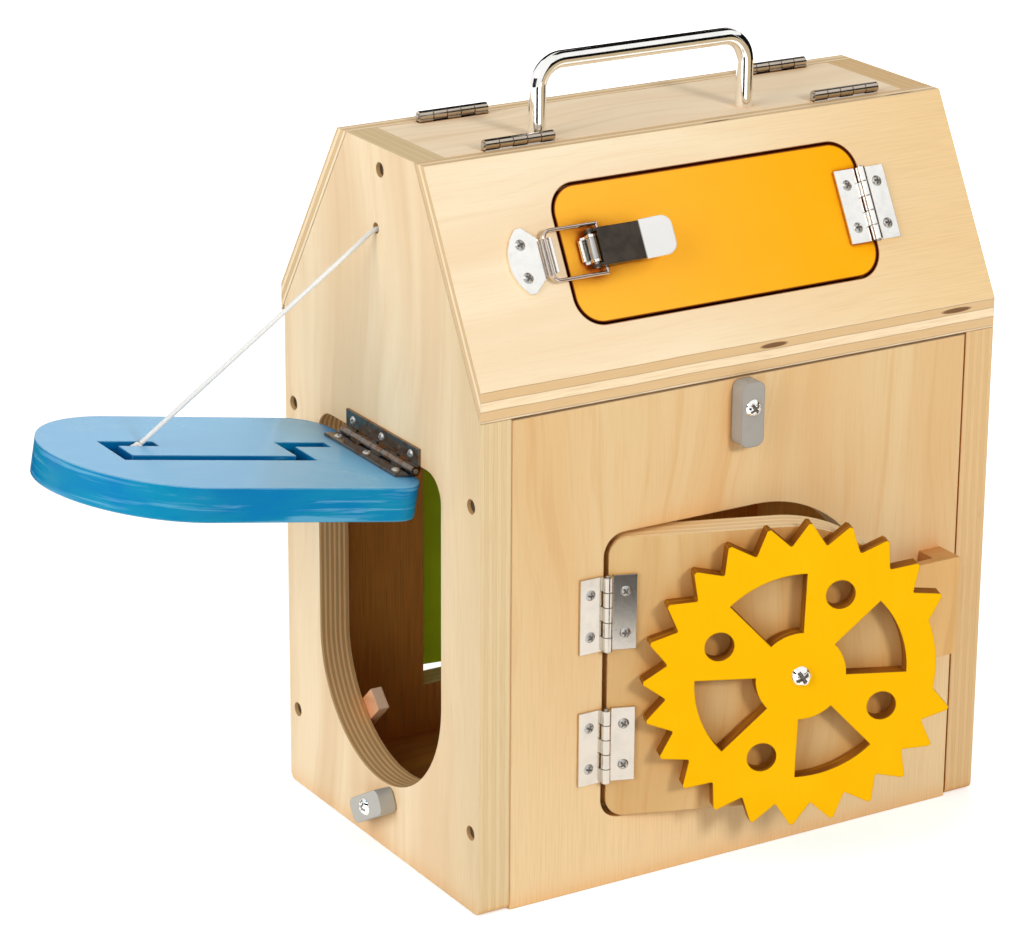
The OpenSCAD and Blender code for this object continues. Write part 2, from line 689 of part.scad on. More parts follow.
// The pivot pin carries a sleeve between the base's ears.
module latch_pin() {
  sleeve = lever_w / 2 - 2 - leaf_t - 0.1;
  color([0.66, 0.67, 0.69]) from_corner() on_latch() translate([lever_x, 0, lever_pivot_h])
    rotate([90, 0, 0]) {
      translate([0, 0, -lever_w / 2 - 0.3]) cylinder(r = pin_r, h = lever_w + 0.6);
      translate([0, 0, -sleeve]) cylinder(r = ear_r, h = 2 * sleeve);
    }
}
module latch_lever() {
  wall = leaf_t;
  skin_z = lever_pivot_h + ear_r + 0.1;
  walls_l = 9;
  body_l = lever_l - lever_tip_l;
  tip_w = lever_w + 0.8;
  color([0.86, 0.87, 0.89]) from_corner() on_latch() difference() {
    union() {
      translate([lever_x + 1.5, -lever_w / 2, skin_z]) cube([body_l - 1.5, lever_w, wall]);
      for (s = [-1, 1]) translate([lever_x, s > 0 ? lever_w / 2 - wall : -lever_w / 2, 0]) {
        translate([0, 0, lever_pivot_h]) rotate([-90, 0, 0]) cylinder(r = ear_r + 0.3, h = wall);
        translate([0, 0, leaf_t + 0.8]) cube([walls_l, wall, skin_z - leaf_t - 0.8 + wall]);
        translate([0, 0, skin_z - 1.4]) cube([body_l, wall, 1.4 + wall]);
      }
      translate([lever_x + body_l - 0.3, -tip_w / 2, skin_z]) rotate([0, -lever_tip_rise, 0])
        linear_extrude(wall) intersection() {
          translate([-6, 0]) rounded_rect(lever_tip_l + 6, tip_w, 4.5);
          square([lever_tip_l, tip_w]);
        }
    }
    translate([lever_x, 12, lever_pivot_h]) rotate([90, 0, 0]) cylinder(r = pin_r + run_gap, h = 24);
    translate([bail_x, 12, bail_h]) rotate([90, 0, 0]) cylinder(r = wire_r + run_gap, h = 24);
  }
}
// Wire bail: two legs beside the lever, a bar behind the strike's hook, ends in the lever.
module latch_bail() {
  bar_x = hook_x - leaf_t - seat_gap - wire_r;
  bend = 3;
  color([0.84, 0.85, 0.87]) from_corner() on_latch() translate([0, 0, bail_h])
    for (s = [0, 1]) mirror([0, s, 0]) {
      translate([bar_x + bend, bail_half, 0]) rotate([0, 90, 0])
        cylinder(r = wire_r, h = bail_x - bar_x - bend);
      translate([bar_x + bend, bail_half - bend, 0]) rotate([0, 0, 90])
        rotate_extrude(angle = 90) translate([bend, 0]) circle(wire_r);
      translate([bar_x, 0, 0]) rotate([-90, 0, 0]) cylinder(r = wire_r, h = bail_half - bend);
      translate([bail_x, bail_half, 0]) sphere(wire_r);
      translate([bail_x, lever_w / 2 - 1.2, 0]) rotate([-90, 0, 0])
        cylinder(r = wire_r, h = bail_half - lever_w / 2 + 1.2);
    }
}

module gear_door() {
  color([0.94, 0.84, 0.64]) from_corner() gear_door_turn() difference() {
    xz_plate(0, board_t) gear_door_outline(gear_door_gap);
    translate([gear_axis_x + gear_reach, -1, gear_z]) rotate([-90, 0, 0])
      cylinder(r = axle_r + 0.05, h = button_screw_l + 1.3);
  }
}
module gear_frame_leaves() {
  color([0.72, 0.73, 0.75]) from_corner() for (z = gear_hinge_z)
    gear_pin_frame(z) mirror([0, 1, 0]) face_leaf(true);
}
module gear_door_leaves() {
  color([0.72, 0.73, 0.75]) from_corner() gear_door_turn() for (z = gear_hinge_z)
    gear_pin_frame(z) face_leaf(false);
}
module gear_hinge_pins() {
  color([0.60, 0.61, 0.63]) from_corner() for (z = gear_hinge_z) gear_pin_frame(z) hinge_pin(hinge_l);
}
module gear_frame_screws() {
  color([0.80, 0.80, 0.82]) from_corner() for (z = gear_hinge_z)
    gear_pin_frame(z) mirror([0, 1, 0]) face_leaf_screws();
}
module gear_door_screws() {
  color([0.80, 0.80, 0.82]) from_corner() gear_door_turn() for (z = gear_hinge_z)
    gear_pin_frame(z) face_leaf_screws();
}
// Gear frame: the gear turns about local Z, which points out of the door.
module gear_frame() {
  from_corner() gear_door_turn() translate([gear_axis_x + gear_reach, 0, gear_z])
    rotate([90, 0, 0]) children();
}
module gear_profile() {
  pitch = 360 / tooth_count;
  half = pitch / 2 - 0.4;
  tip = [gear_tip_r, tooth_flat / 2];
  foot = tip + 1.3 * ([gear_root_r * cos(half), gear_root_r * sin(half)] - tip);
  difference() {
    union() {
      circle(gear_root_r, $fn = 144);
      for (k = [0 : tooth_count - gap_teeth - 1]) rotate((k + 0.5) * pitch)
        polygon([tip, foot, [foot[0], -foot[1]], [tip[0], -tip[1]]]);
    }
    circle(axle_r + run_gap);
    for (q = [0 : 3]) rotate(q * 90) {
      difference() {
        intersection() {
          circle(window_r1, $fn = 96);
          polygon([[0, 0], [gear_tip_r, -gear_tip_r * tan(window_angle / 2)],
            [gear_tip_r, gear_tip_r * tan(window_angle / 2)]]);
        }
        circle(window_r0);
      }
      rotate(45) translate([hole_ring_r, 0]) circle(hole_r);
    }
  }
}
module gear() {
  color([0.99, 0.78, 0.05]) gear_frame() translate([0, 0, -gear_back_y]) rotate(gear_turn)
    linear_extrude(gear_t) gear_profile();
}
module gear_washer() {
  color([0.75, 0.76, 0.78]) gear_frame() difference() {
    cylinder(r = axle_head_r + 0.6, h = washer_t);
    translate([0, 0, -1]) cylinder(r = axle_r + 0.1, h = washer_t + 2);
  }
}
module gear_axle_screw() {
  r = axle_head_r;
  color([0.82, 0.83, 0.85]) gear_frame() rotate_extrude()
    polygon([[0, -button_screw_l], [axle_r, -button_screw_l], [axle_r, -gear_front_y + seat_gap],
      [r, -gear_front_y + seat_gap], [r * 0.94, -gear_front_y + 1.3], [r * 0.7, -gear_front_y + 2.3],
      [r * 0.35, -gear_front_y + 2.8], [0, -gear_front_y + 3]]);
}

module button_body(off) {
  difference() {
    translate([-button_w / 2, off - button_l, seat_gap]) linear_extrude(button_t)
      rounded_rect(button_w, button_l, button_r);
    cylinder(r = button_screw_r + run_gap, h = button_t + 2);
  }
}
module button_screw() {
  z = button_t + 2 * seat_gap;
  r = button_head_r;
  rotate_extrude() polygon([[0, -button_screw_l], [button_screw_r, -button_screw_l],
    [button_screw_r, z], [r, z], [r * 0.9, z + 0.9], [r * 0.6, z + 1.7], [0, z + 2.1]]);
}
module front_button_frame() {
  from_corner() translate([front_button_x, 0, front_button_z]) rotate([90, 0, 0]) children();
}
module side_button_frame() {
  from_corner() translate([0, side_button_y, side_button_z]) rotate([90, 0, -90]) children();
}
module front_button() {
  color([0.62, 0.61, 0.59]) front_button_frame() button_body(front_button_short);
}
module side_button() {
  color([0.62, 0.61, 0.59]) side_button_frame() rotate(side_button_tilt - 90)
    button_body(button_l / 2);
}
module button_screws() {
  color([0.80, 0.80, 0.82]) {
    front_button_frame() button_screw();
    side_button_frame() button_screw();
  }
}

// The drop door carries a through slot in the shape of a small maze for the cord.
module maze_slot() {
  for (i = [0 : len(maze_path) - 2]) {
    a = maze_path[i];
    b = maze_path[i + 1];
    translate([drop_y + (a[1] + b[1]) / 2, drop_axis_z - (a[0] + b[0]) / 2])
      square([abs(a[1] - b[1]) + maze_w, abs(a[0] - b[0]) + maze_w], center = true);
  }
}
module drop_door() {
  color([0.20, 0.58, 0.80]) from_corner() drop_door_turn() yz_plate(0, board_t) difference() {
    drop_outline(drop_door_r, drop_door_bottom, drop_door_top, drop_door_corner_r);
    maze_slot();
  }
}
module drop_frame_leaf() {
  color([0.55, 0.55, 0.56]) from_corner() drop_pin_frame() mirror([0, 1, 0]) drop_leaf(true);
}
module drop_door_leaf() {
  color([0.55, 0.55, 0.56]) from_corner() drop_door_turn() drop_pin_frame() drop_leaf(false);
}
module drop_hinge_pin() {
  color([0.60, 0.61, 0.63]) from_corner() drop_pin_frame() hinge_pin(drop_hinge_l);
}
module drop_frame_screws() {
  color([0.80, 0.80, 0.82]) from_corner() drop_pin_frame() mirror([0, 1, 0]) drop_leaf_screws();
}
module drop_door_screws() {
  color([0.80, 0.80, 0.82]) from_corner() drop_door_turn() drop_pin_frame() drop_leaf_screws();
}

module back_door() {
  color([0.32, 0.50, 0.06]) from_corner() back_door_turn() xz_plate(body_d - board_t, board_t)
    translate([back_open_x + back_gap, back_open_z + back_gap])
      square([back_open_w - 2 * back_gap, back_open_h - 2 * back_gap]);
}
module back_frame_leaves() {
  color([0.72, 0.73, 0.75]) from_corner() for (z = back_hinge_z)
    back_pin_frame(z) mirror([0, 1, 0]) face_leaf(true);
}
module back_door_leaves() {
  color([0.72, 0.73, 0.75]) from_corner() back_door_turn() for (z = back_hinge_z)
    back_pin_frame(z) face_leaf(false);
}
module back_hinge_pins() {
  color([0.60, 0.61, 0.63]) from_corner() for (z = back_hinge_z) back_pin_frame(z) hinge_pin(hinge_l);
}
module back_frame_screws() {
  color([0.80, 0.80, 0.82]) from_corner() for (z = back_hinge_z)
    back_pin_frame(z) mirror([0, 1, 0]) face_leaf_screws();
}
module back_door_screws() {
  color([0.80, 0.80, 0.82]) from_corner() back_door_turn() for (z = back_hinge_z)
    back_pin_frame(z) face_leaf_screws();
}

// The cord runs from a knot inside the house through the gable, bends over the hole's edge
// and ends in a knot in the maze slot. A tube is swept along each of its two stretches, and
// its last rings swell into the knot.
inside_route = [[0.1, cord_y, cord_z], cord_start];
outside_route = [cord_bend, cord_slot];
knot_angles = [30 : 30 : 150];
function unit(v) = v / norm(v);
function swept(a, b) = let(n = ceil(norm(b - a) / 5)) [for (j = [0 : n]) a + (b - a) * j / n];
module cord_tube(route, knot_r, sides) {
  t = unit(route[1] - route[0]);
  u = unit(cross([0, 1, 0], t));
  w = cross(t, u);
  line = swept(route[0], route[1]);
  p = concat(line, [for (a = knot_angles) route[1] + t * knot_r * (1 - cos(a))]);
  r = concat([for (q = line) cord_d / 2], [for (a = knot_angles) knot_r * sin(a)]);
  last = (len(p) - 1) * sides;
  rings = [for (i = [0 : len(p) - 1], k = [0 : sides - 1])
    p[i] + r[i] * (cos(360 * k / sides) * u + sin(360 * k / sides) * w)];
  polyhedron(rings, concat([[for (k = [0 : sides - 1]) k]],
    [for (i = [0 : len(p) - 2], k = [0 : sides - 1])
      [i * sides + k, (i + 1) * sides + k, (i + 1) * sides + (k + 1) % sides, i * sides + (k + 1) % sides]],
    [[for (k = [sides - 1 : -1 : 0]) last + k]]), convexity = 4);
}
module cord_inside() { color([0.96, 0.96, 0.95]) from_corner() cord_tube(inside_route, cord_d * 1.4, 8); }
module cord() { color([0.96, 0.96, 0.95]) from_corner() cord_tube(outside_route, cord_d * 1.2, 8); }

left_gable();
right_gable();
front_panel();
back_panel();
floor_board();
ridge_board();
case_screws();
gear_keeper();
stop_block();
handle();
handle_screws();
ridge_fixed_leaves();
ridge_pins();
front_lid();
front_lid_leaves();
rear_lid();
rear_lid_leaves();
hatch();
hatch_lid_leaf();
hatch_leaf();
hatch_pin();
hatch_lid_screws();
hatch_screws();
strike_plate();
strike_screws();
latch_base();
latch_base_screws();
latch_pin();
latch_lever();
latch_bail();
gear_door();
gear_frame_leaves();
gear_door_leaves();
gear_hinge_pins();
gear_frame_screws();
gear_door_screws();
gear();
gear_washer();
gear_axle_screw();
front_button();
side_button();
button_screws();
drop_door();
drop_frame_leaf();
drop_door_leaf();
drop_hinge_pin();
drop_frame_screws();
drop_door_screws();
back_door();
back_frame_leaves();
back_door_leaves();
back_hinge_pins();
back_frame_screws();
back_door_screws();
cord_inside();
cord();
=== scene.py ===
"""Looks for the wooden busy board: a house-shaped lock box with doors, latches and a gear."""
import json
import math
import random

import bmesh
import bpy
from mathutils import Matrix, Vector


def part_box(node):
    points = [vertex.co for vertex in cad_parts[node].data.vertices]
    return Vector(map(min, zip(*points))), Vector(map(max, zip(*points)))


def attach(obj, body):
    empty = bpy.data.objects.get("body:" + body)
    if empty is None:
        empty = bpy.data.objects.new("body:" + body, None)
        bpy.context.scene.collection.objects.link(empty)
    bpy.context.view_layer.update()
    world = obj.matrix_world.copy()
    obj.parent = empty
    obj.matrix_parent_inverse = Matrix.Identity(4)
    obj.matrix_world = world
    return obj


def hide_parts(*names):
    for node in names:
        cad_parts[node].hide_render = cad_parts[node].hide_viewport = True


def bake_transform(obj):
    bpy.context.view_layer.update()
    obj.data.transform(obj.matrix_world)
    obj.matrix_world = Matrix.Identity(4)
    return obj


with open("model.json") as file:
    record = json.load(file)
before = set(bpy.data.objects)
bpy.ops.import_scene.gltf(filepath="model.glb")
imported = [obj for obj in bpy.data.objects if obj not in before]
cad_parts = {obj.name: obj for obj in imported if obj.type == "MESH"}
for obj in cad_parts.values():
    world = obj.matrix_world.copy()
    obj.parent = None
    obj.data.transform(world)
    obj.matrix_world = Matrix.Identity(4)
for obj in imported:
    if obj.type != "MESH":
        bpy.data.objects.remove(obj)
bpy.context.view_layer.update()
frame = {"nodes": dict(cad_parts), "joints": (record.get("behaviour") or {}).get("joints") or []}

MM = 0.001
# The CAD source counts from the house's front left bottom corner; this is that corner here.
CORNER = Vector((-0.120, -0.0775, 0.0))
JOINTS = {j["name"]: j for j in frame["joints"]}
random.seed(7)


def corner(x, y, z):
    """A point given in metres from the house's front left bottom corner."""
    return CORNER + Vector((x, y, z))


# ---------------------------------------------------------------- camera
def make_camera():
    """The view of the photograph, solved from the house's straight edges."""
    place = Vector((-0.814742, -1.243506, 0.670370))
    right = Vector((0.85556136, -0.51767374, 0.00535367))
    up = Vector((0.17039230, 0.29134293, 0.94132128))
    forward = Vector((0.48885706, 0.80444590, -0.33746937))
    camera = bpy.data.objects.new("camera", bpy.data.cameras.new("camera"))
    bpy.context.scene.collection.objects.link(camera)
    camera.matrix_world = Matrix((
        (right.x, up.x, -forward.x, place.x),
        (right.y, up.y, -forward.y, place.y),
        (right.z, up.z, -forward.z, place.z),
        (0, 0, 0, 1),
    ))
    camera.data.sensor_width = 36
    camera.data.lens = 135.66
    camera.data.clip_start = 0.05
    camera.data.clip_end = 30
    bpy.context.scene.camera = camera


make_camera()


# ---------------------------------------------------------------- directions of the boards
def opened(name, closed_normal):
    """The outward direction of a door that stands open at rest, from the one it has when closed."""
    joint = JOINTS[name]
    turn = Matrix.Rotation(math.radians(-joint["range_deg"][0]), 3, Vector(joint["axis"]))
    return turn @ closed_normal


LEFT = Vector((-1, 0, 0))
RIGHT = Vector((1, 0, 0))
FRONT = Vector((0, -1, 0))
BACK = Vector((0, 1, 0))
UP = Vector((0, 0, 1))
UP_SLOPE = Vector(JOINTS["hatch_hinge"]["axis"])
SLOPE = RIGHT.cross(UP_SLOPE)
REAR_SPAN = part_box("rear_lid")[1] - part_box("rear_lid")[0]
REAR_SLOPE = RIGHT.cross(Vector((0, REAR_SPAN.y, -REAR_SPAN.z)).normalized())
GEAR_OUT = Vector(JOINTS["gear_spin"]["axis"])
DROP_OUT = opened("drop_door_hinge", LEFT)
DROP_ALONG = DROP_OUT.cross(BACK)
BACK_OUT = opened("back_door_hinge", BACK)


# ---------------------------------------------------------------- mesh helpers
def mesh_object(name, verts, faces):
    """A smooth-shaded mesh object, linked to the scene."""
    mesh = bpy.data.meshes.new(name)
    mesh.from_pydata([tuple(v) for v in verts], [], faces)
    mesh.validate()
    mesh.polygons.foreach_set("use_smooth", [True] * len(mesh.polygons))
    piece = bpy.data.objects.new(name, mesh)
    bpy.context.scene.collection.objects.link(piece)
    return piece


def frame_along(direction):
    """Two unit vectors across a direction."""
    side = direction.cross(UP)
    if side.length < 1e-4:
        side = direction.cross(BACK)
    side.normalize()
    return side, side.cross(direction).normalized()


def circle(count):
    """The angles of that many points evenly round a circle."""
    return [2 * math.pi * k / count for k in range(count)]


def tube(name, points, radius, sides, closed=False, relief=None):
    """A tube along points. relief(ring, angle) gives a factor on the radius."""
    count = len(points)
    verts = []
    for i, p in enumerate(points):
        before = points[(i - 1) % count] if closed or i else p
        after = points[(i + 1) % count] if closed or i < count - 1 else p
        a, b = frame_along((after - before).normalized())
        for t in circle(sides):
            r = radius * (relief(i, t) if relief else 1)
            verts.append(p + r * (math.cos(t) * a + math.sin(t) * b))
    faces = []
    for i in range(count if closed else count - 1):
        j = (i + 1) % count
        for k in range(sides):
            m = (k + 1) % sides
            faces.append((i * sides + k, i * sides + m, j * sides + m, j * sides + k))
    if not closed:
        faces.append(tuple(range(sides))[::-1])
        faces.append(tuple((count - 1) * sides + k for k in range(sides)))
    return mesh_object(name, verts, faces)


def solids(node):
    """The separate solids of a CAD node, each as a list of its points."""
    bm = bmesh.new()
    bm.from_mesh(frame["nodes"][node].data)
    bmesh.ops.remove_doubles(bm, verts=bm.verts, dist=1e-6)
    bm.verts.ensure_lookup_table()
    left = set(range(len(bm.verts)))
    found = []
    while left:
        todo = [left.pop()]
        group = []
        while todo:
            v = bm.verts[todo.pop()]
            group.append(v.co.copy())
            for e in v.link_edges:
                o = e.other_vert(v).index
                if o in left:
                    left.remove(o)
                    todo.append(o)
        found.append(group)
    bm.free()
    return sorted(found, key=lambda g: tuple(round(x, 4) for x in sum(g, Vector()) / len(g)))


# ---------------------------------------------------------------- material helpers
def srgb(r, g, b):
    """A colour given as 0 to 255 in sRGB, as the linear RGBA that Blender takes."""
    def linear(c):
        c /= 255
        return c / 12.92 if c <= 0.04045 else ((c + 0.055) / 1.055) ** 2.4
    return (linear(r), linear(g), linear(b), 1)


class Shader:
    """One material. Each method adds a node and returns its output."""

    def __init__(self, name):
        self.material = bpy.data.materials.new(name)
        self.material.use_nodes = True
        self.tree = self.material.node_tree
        self.bsdf = self.tree.nodes["Principled BSDF"]
        coords = self.tree.nodes.new("ShaderNodeTexCoord")
        self.place = coords.outputs["Object"]
        self.facing = coords.outputs["Normal"]

    def put(self, socket, value):
        """Links a socket, or sets it where the value is a constant."""
        if isinstance(value, bpy.types.NodeSocket):
            self.tree.links.new(value, socket)
        else:
            socket.default_value = value

    def node(self, kind, inputs=(), **settings):
        made = self.tree.nodes.new("ShaderNode" + kind)
        for key, value in settings.items():
            setattr(made, key, value)
        for key, value in dict(inputs).items():
            self.put(made.inputs[key], value)
        return made

    def math(self, operation, a, b=0.0):
        return self.node("Math", {0: a, 1: b}, operation=operation).outputs[0]

    def times(self, a, b):
        return self.math("MULTIPLY", a, b)

    def dot(self, vector, axis):
        made = self.node("VectorMath", {0: vector, 1: tuple(axis)}, operation="DOT_PRODUCT")
        return made.outputs["Value"]

    def scaled(self, *pairs):
        """A vector of three values, each given with the factor that it is taken times."""
        parts = [self.times(value, factor) for value, factor in pairs]
        return self.node("CombineXYZ", dict(enumerate(parts))).outputs[0]

    def noise(self, vector, scale=1.0, detail=2.0, roughness=0.5, distortion=0.0):
        made = self.node("TexNoise", {"Vector": vector, "Scale": scale, "Detail": detail,
                                      "Roughness": roughness, "Distortion": distortion})
        return made.outputs[0]

    def ramp(self, value, low, high, to_low=0.0, to_high=1.0):
        """A smooth step from to_low at low to to_high at high."""
        made = self.node("MapRange", {0: value, 1: low, 2: high, 3: to_low, 4: to_high},
                         interpolation_type="SMOOTHSTEP")
        return made.outputs[0]

    def mix(self, share, a, b, blend="MIX"):
        made = self.node("Mix", data_type="RGBA", blend_type=blend)
        self.put(made.inputs[0], share)
        self.put(made.inputs[6], a)
        self.put(made.inputs[7], b)
        return made.outputs[2]

    def bump(self, height, distance, strength=1.0, normal=None):
        made = self.node("Bump", {"Height": height, "Distance": distance, "Strength": strength})
        if normal is not None:
            self.put(made.inputs["Normal"], normal)
        return made.outputs[0]

    def rounded(self, radius):
        """The normal as if sharp edges were rounded off to that radius."""
        return self.node("Bevel", {"Radius": radius}, samples=4).outputs[0]

    def crevice_shade(self, reach, full=0.3):
        """1 deep in corners and under close pieces, 0 in the open: where painted shade goes."""
        made = self.node("AmbientOcclusion", {"Distance": reach}, samples=6)
        return self.ramp(made.outputs["AO"], 0.95, full)

    def off_centre(self, axis, middle):
        """How far a point lies from a middle, along an axis."""
        return self.math("ABSOLUTE", self.math("SUBTRACT", self.dot(self.place, axis), middle))

    def inset(self, centre, half_x, half_up, radius):
        """How far inside (below 0) or outside a rounded rectangle on the front slope a point is."""
        over = [self.math("SUBTRACT", self.off_centre(axis, centre.dot(axis)), half - radius)
                for axis, half in ((RIGHT, half_x), (UP_SLOPE, half_up))]
        out = [self.math("POWER", self.math("MAXIMUM", q, 0), 2) for q in over]
        round_part = self.math("SQRT", self.math("ADD", *out))
        flat_part = self.math("MINIMUM", self.math("MAXIMUM", *over), 0)
        return self.math("SUBTRACT", self.math("ADD", round_part, flat_part), radius)

    def arris(self, rounded_normal):
        """1 on the sharp edges, where the rounded normal leaves the face's own."""
        normal = self.node("NewGeometry").outputs["Normal"]
        near = self.node("VectorMath", {0: rounded_normal, 1: normal}, operation="DOT_PRODUCT")
        return self.ramp(near.outputs["Value"], 0.995, 0.90)

    def tone(self, share, colour, factor):
        """A colour that turns to itself taken times a factor, as share goes from 0 to 1."""
        return self.mix(share, srgb(*colour), srgb(*[min(255, c * factor) for c in colour]))

    def finish(self, **sockets):
        for key, value in sockets.items():
            self.put(self.bsdf.inputs[key.replace("_", " ")], value)
        return self.material


def dress(material, *nodes):
    """Gives CAD nodes their one material."""
    for name in nodes:
        mesh = frame["nodes"][name].data
        mesh.materials.clear()
        mesh.materials.append(material)


# ---------------------------------------------------------------- wood
BOARD_T = 13.5 * MM
GRAIN_SEED = [0.0]
GRAIN_STEP = 3.7
# How squarely a point faces outwards where the face ends and where the cut edge begins: for
# edges cut square to the board, and for a sloped board's edges that are cut plumb.
SQUARE_CUT = (0.75, 0.60)
PLUMB_CUT = (0.97, 0.93)
GLUE_LINE = (112, 72, 36)
RIM_PLY = 1.1 * MM
RIM_GLUE = (88, 54, 26)
VOID_BROWN = (96, 52, 20)
SCORCH_AND_GAP_SHADE = (140, 64, 22)


def board_coordinates(s, out, grain, surface, cut=SQUARE_CUT):
    """Along the grain, across it, and depth below the outer face; plus the edge mask."""
    GRAIN_SEED[0] += GRAIN_STEP
    along = s.math("ADD", s.dot(s.place, grain), GRAIN_SEED[0])
    over = s.dot(s.place, out.cross(grain))
    depth = s.math("SUBTRACT", surface.dot(out), s.dot(s.place, out))
    facing = s.math("ABSOLUTE", s.dot(s.facing, out))
    return along, over, depth, s.ramp(facing, *cut)


def stretched(s, along, over, along_scale, over_scale, seed, detail=2.0, roughness=0.5):
    """Noise drawn out along the grain, at the given number of features per metre."""
    return s.noise(s.scaled((along, along_scale), (over, over_scale), (seed, 1)), 1, detail,
                   roughness)


def face_figure(s, along, over, light, dark, streak, figure):
    """Veneer: broad soft bands, narrow streaks, faint growth rings and fine fibres."""
    sway = s.math("SUBTRACT", stretched(s, along, over, 7, 10, 4, 1), 0.5)
    line = s.math("ADD", over, s.times(sway, 0.05))
    broad = stretched(s, along, line, 3.2, 38, 0)
    narrow = stretched(s, along, line, 9, 210, 6, 3, 0.6)
    patch = stretched(s, along, over, 9, 16, 11, 1)
    ring = s.math("FRACT", s.times(line, 70))
    late = s.times(s.ramp(ring, 0.1, 0.85), s.ramp(ring, 1.0, 0.86))
    fibre = stretched(s, along, over, 38, 1500, 1, 3, 0.6)
    fleck = stretched(s, along, over, 130, 1100, 9, 1)
    colour = s.mix(s.ramp(broad, 0.36, 0.66), light, dark)
    late = s.times(s.times(late, figure * 0.7), s.ramp(patch, 0.4, 0.7))
    for share in (s.times(s.ramp(narrow, 0.48, 0.70), figure * 1.3), late,
                  s.times(s.ramp(fibre, 0.45, 0.75), 0.22),
                  s.times(s.ramp(fleck, 0.66, 0.78), 0.16)):
        colour = s.mix(share, colour, streak)
    return colour, fibre


def edge_plies(s, along, over, depth, ply, offset, light, dark, deep, contrast):
    """The cut edge of plywood: light and dark plies with glue lines and a few voids."""
    wander = stretched(s, along, over, 25, 25, 2)
    layer = s.math("ADD", s.math("DIVIDE", s.math("ADD", depth, offset), ply),
                   s.times(wander, 0.2))
    number = s.math("FLOOR", layer)
    inside = s.math("FRACT", layer)
    odd = s.times(s.math("FRACT", s.times(number, 0.5)), 2)
    glue = s.math("MAXIMUM", s.ramp(inside, 0.10, 0.0), s.ramp(inside, 0.92, 1.0))
    streaks = s.noise(s.scaled((along, 60), (over, 60), (depth, 2600)), 1, 3, 0.6)
    void = s.noise(s.scaled((along, 34), (over, 34), (number, 7.3)), 1, 1)
    colour = s.mix(s.times(odd, 0.75 * contrast), light, dark)
    colour = s.mix(s.times(s.ramp(streaks, 0.4, 0.75), 0.4), colour, dark)
    colour = s.mix(s.times(glue, 0.45 * contrast), colour, deep)
    voids = s.times(s.ramp(void, 0.75, 0.79), odd)
    return s.mix(s.times(voids, 0.7 * contrast), colour, deep), streaks


def lens_voids(s, depth, marks, colour):
    """Dark lens-shaped gaps in a cut edge, each with its place along x, half length and depth."""
    x = s.dot(s.place, RIGHT)
    for centre, half, level in marks:
        wide, tall = [s.math("POWER", s.math("DIVIDE", s.math("SUBTRACT", value, middle), reach), 2)
                      for value, middle, reach in ((x, centre, half), (depth, level, 0.55 * MM))]
        lens = s.ramp(s.math("ADD", wide, tall), 1.1, 0.5, 0, 0.85)
        colour = s.mix(lens, colour, srgb(*VOID_BROWN))
    return colour


def plywood(name, out, grain, surface, light, dark, streak, figure=0.3, ply=1.9 * MM, offset=0.0,
            edge_light=(240, 217, 176), edge_dark=(214, 178, 128), contrast=0.6, cut=SQUARE_CUT,
            inner_shade=None, marks=(), drift=None, rim=None, gap_outline=None, shade_tint=(252, 196, 128)):
    """Bare plywood. surface is a point of its outer face.

    inner is the colour of its side that faces into the box, as painted shade, marks its edge voids,
    drift an axis with two places and the colour that the face turns to between them, rim an opening
    with browner plies (its middle, half width, top and colours), burnt an outline browned round a
    cut, partly scorch and partly painted shade of the gap, and warm the tint of painted shade in
    its crevices.
    """
    s = Shader(name)
    along, over, depth, edge = board_coordinates(s, out, grain, surface, cut)
    face, fibre = face_figure(s, along, over, srgb(*light), srgb(*dark), srgb(*streak), figure)
    fibre_share = s.ramp(fibre, 0.35, 0.75)
    # Painted shade: the side that faces into the box takes a darker, browner colour.
    if inner_shade:
        behind = s.ramp(depth, 0.4 * BOARD_T, 0.7 * BOARD_T)
        face = s.mix(behind, face, s.tone(fibre_share, inner_shade, 0.86))
    if drift:
        axis, start, end, colour = drift
        drifted = s.ramp(s.dot(s.place, axis), start, end, 0, 0.8)
        face = s.mix(drifted, face, s.tone(fibre_share, colour, 0.95))
    sides, streaks = edge_plies(s, along, over, depth, ply, offset, srgb(*edge_light),
                                srgb(*edge_dark), srgb(*GLUE_LINE), contrast)
    if rim:
        middle, half, top, (rim_light, rim_dark) = rim
        brown, _ = edge_plies(s, along, over, depth, RIM_PLY, 0.0, srgb(*rim_light),
                              srgb(*rim_dark), srgb(*RIM_GLUE), 1.0)
        near = s.off_centre(out.cross(grain), middle)
        inside = s.times(s.ramp(near, half + 2 * MM, half + MM),
                         s.ramp(s.dot(s.place, UP), top + 2 * MM, top + MM))
        sides = s.mix(inside, sides, brown)
    sides = lens_voids(s, depth, marks, sides)
    normal = s.rounded(0.5 * MM)
    # Painted highlight: the arrises are lightened a little past the light colour.
    colour = s.mix(s.times(s.arris(normal), 0.35), s.mix(edge, face, sides),
                   srgb(*[min(255, c * 1.03) for c in light]))
    # Round the cut the face turns brown: partly scorch and partly painted shade of the gap.
    if gap_outline:
        colour = s.mix(s.ramp(s.inset(*gap_outline), 1.5 * MM, 1.0 * MM), colour, srgb(*SCORCH_AND_GAP_SHADE))
    # Painted shade: corners and spots under close pieces are multiplied by a browner tint.
    colour = s.mix(s.times(s.crevice_shade(12 * MM), 0.6), colour, srgb(*shade_tint), "MULTIPLY")
    return s.finish(Base_Color=colour, Roughness=s.math("ADD", 0.46, s.times(fibre, 0.14)),
                    Specular_IOR_Level=0.16,
                    Normal=s.bump(s.mix(edge, fibre, streaks), 0.05 * MM, 0.5, normal))


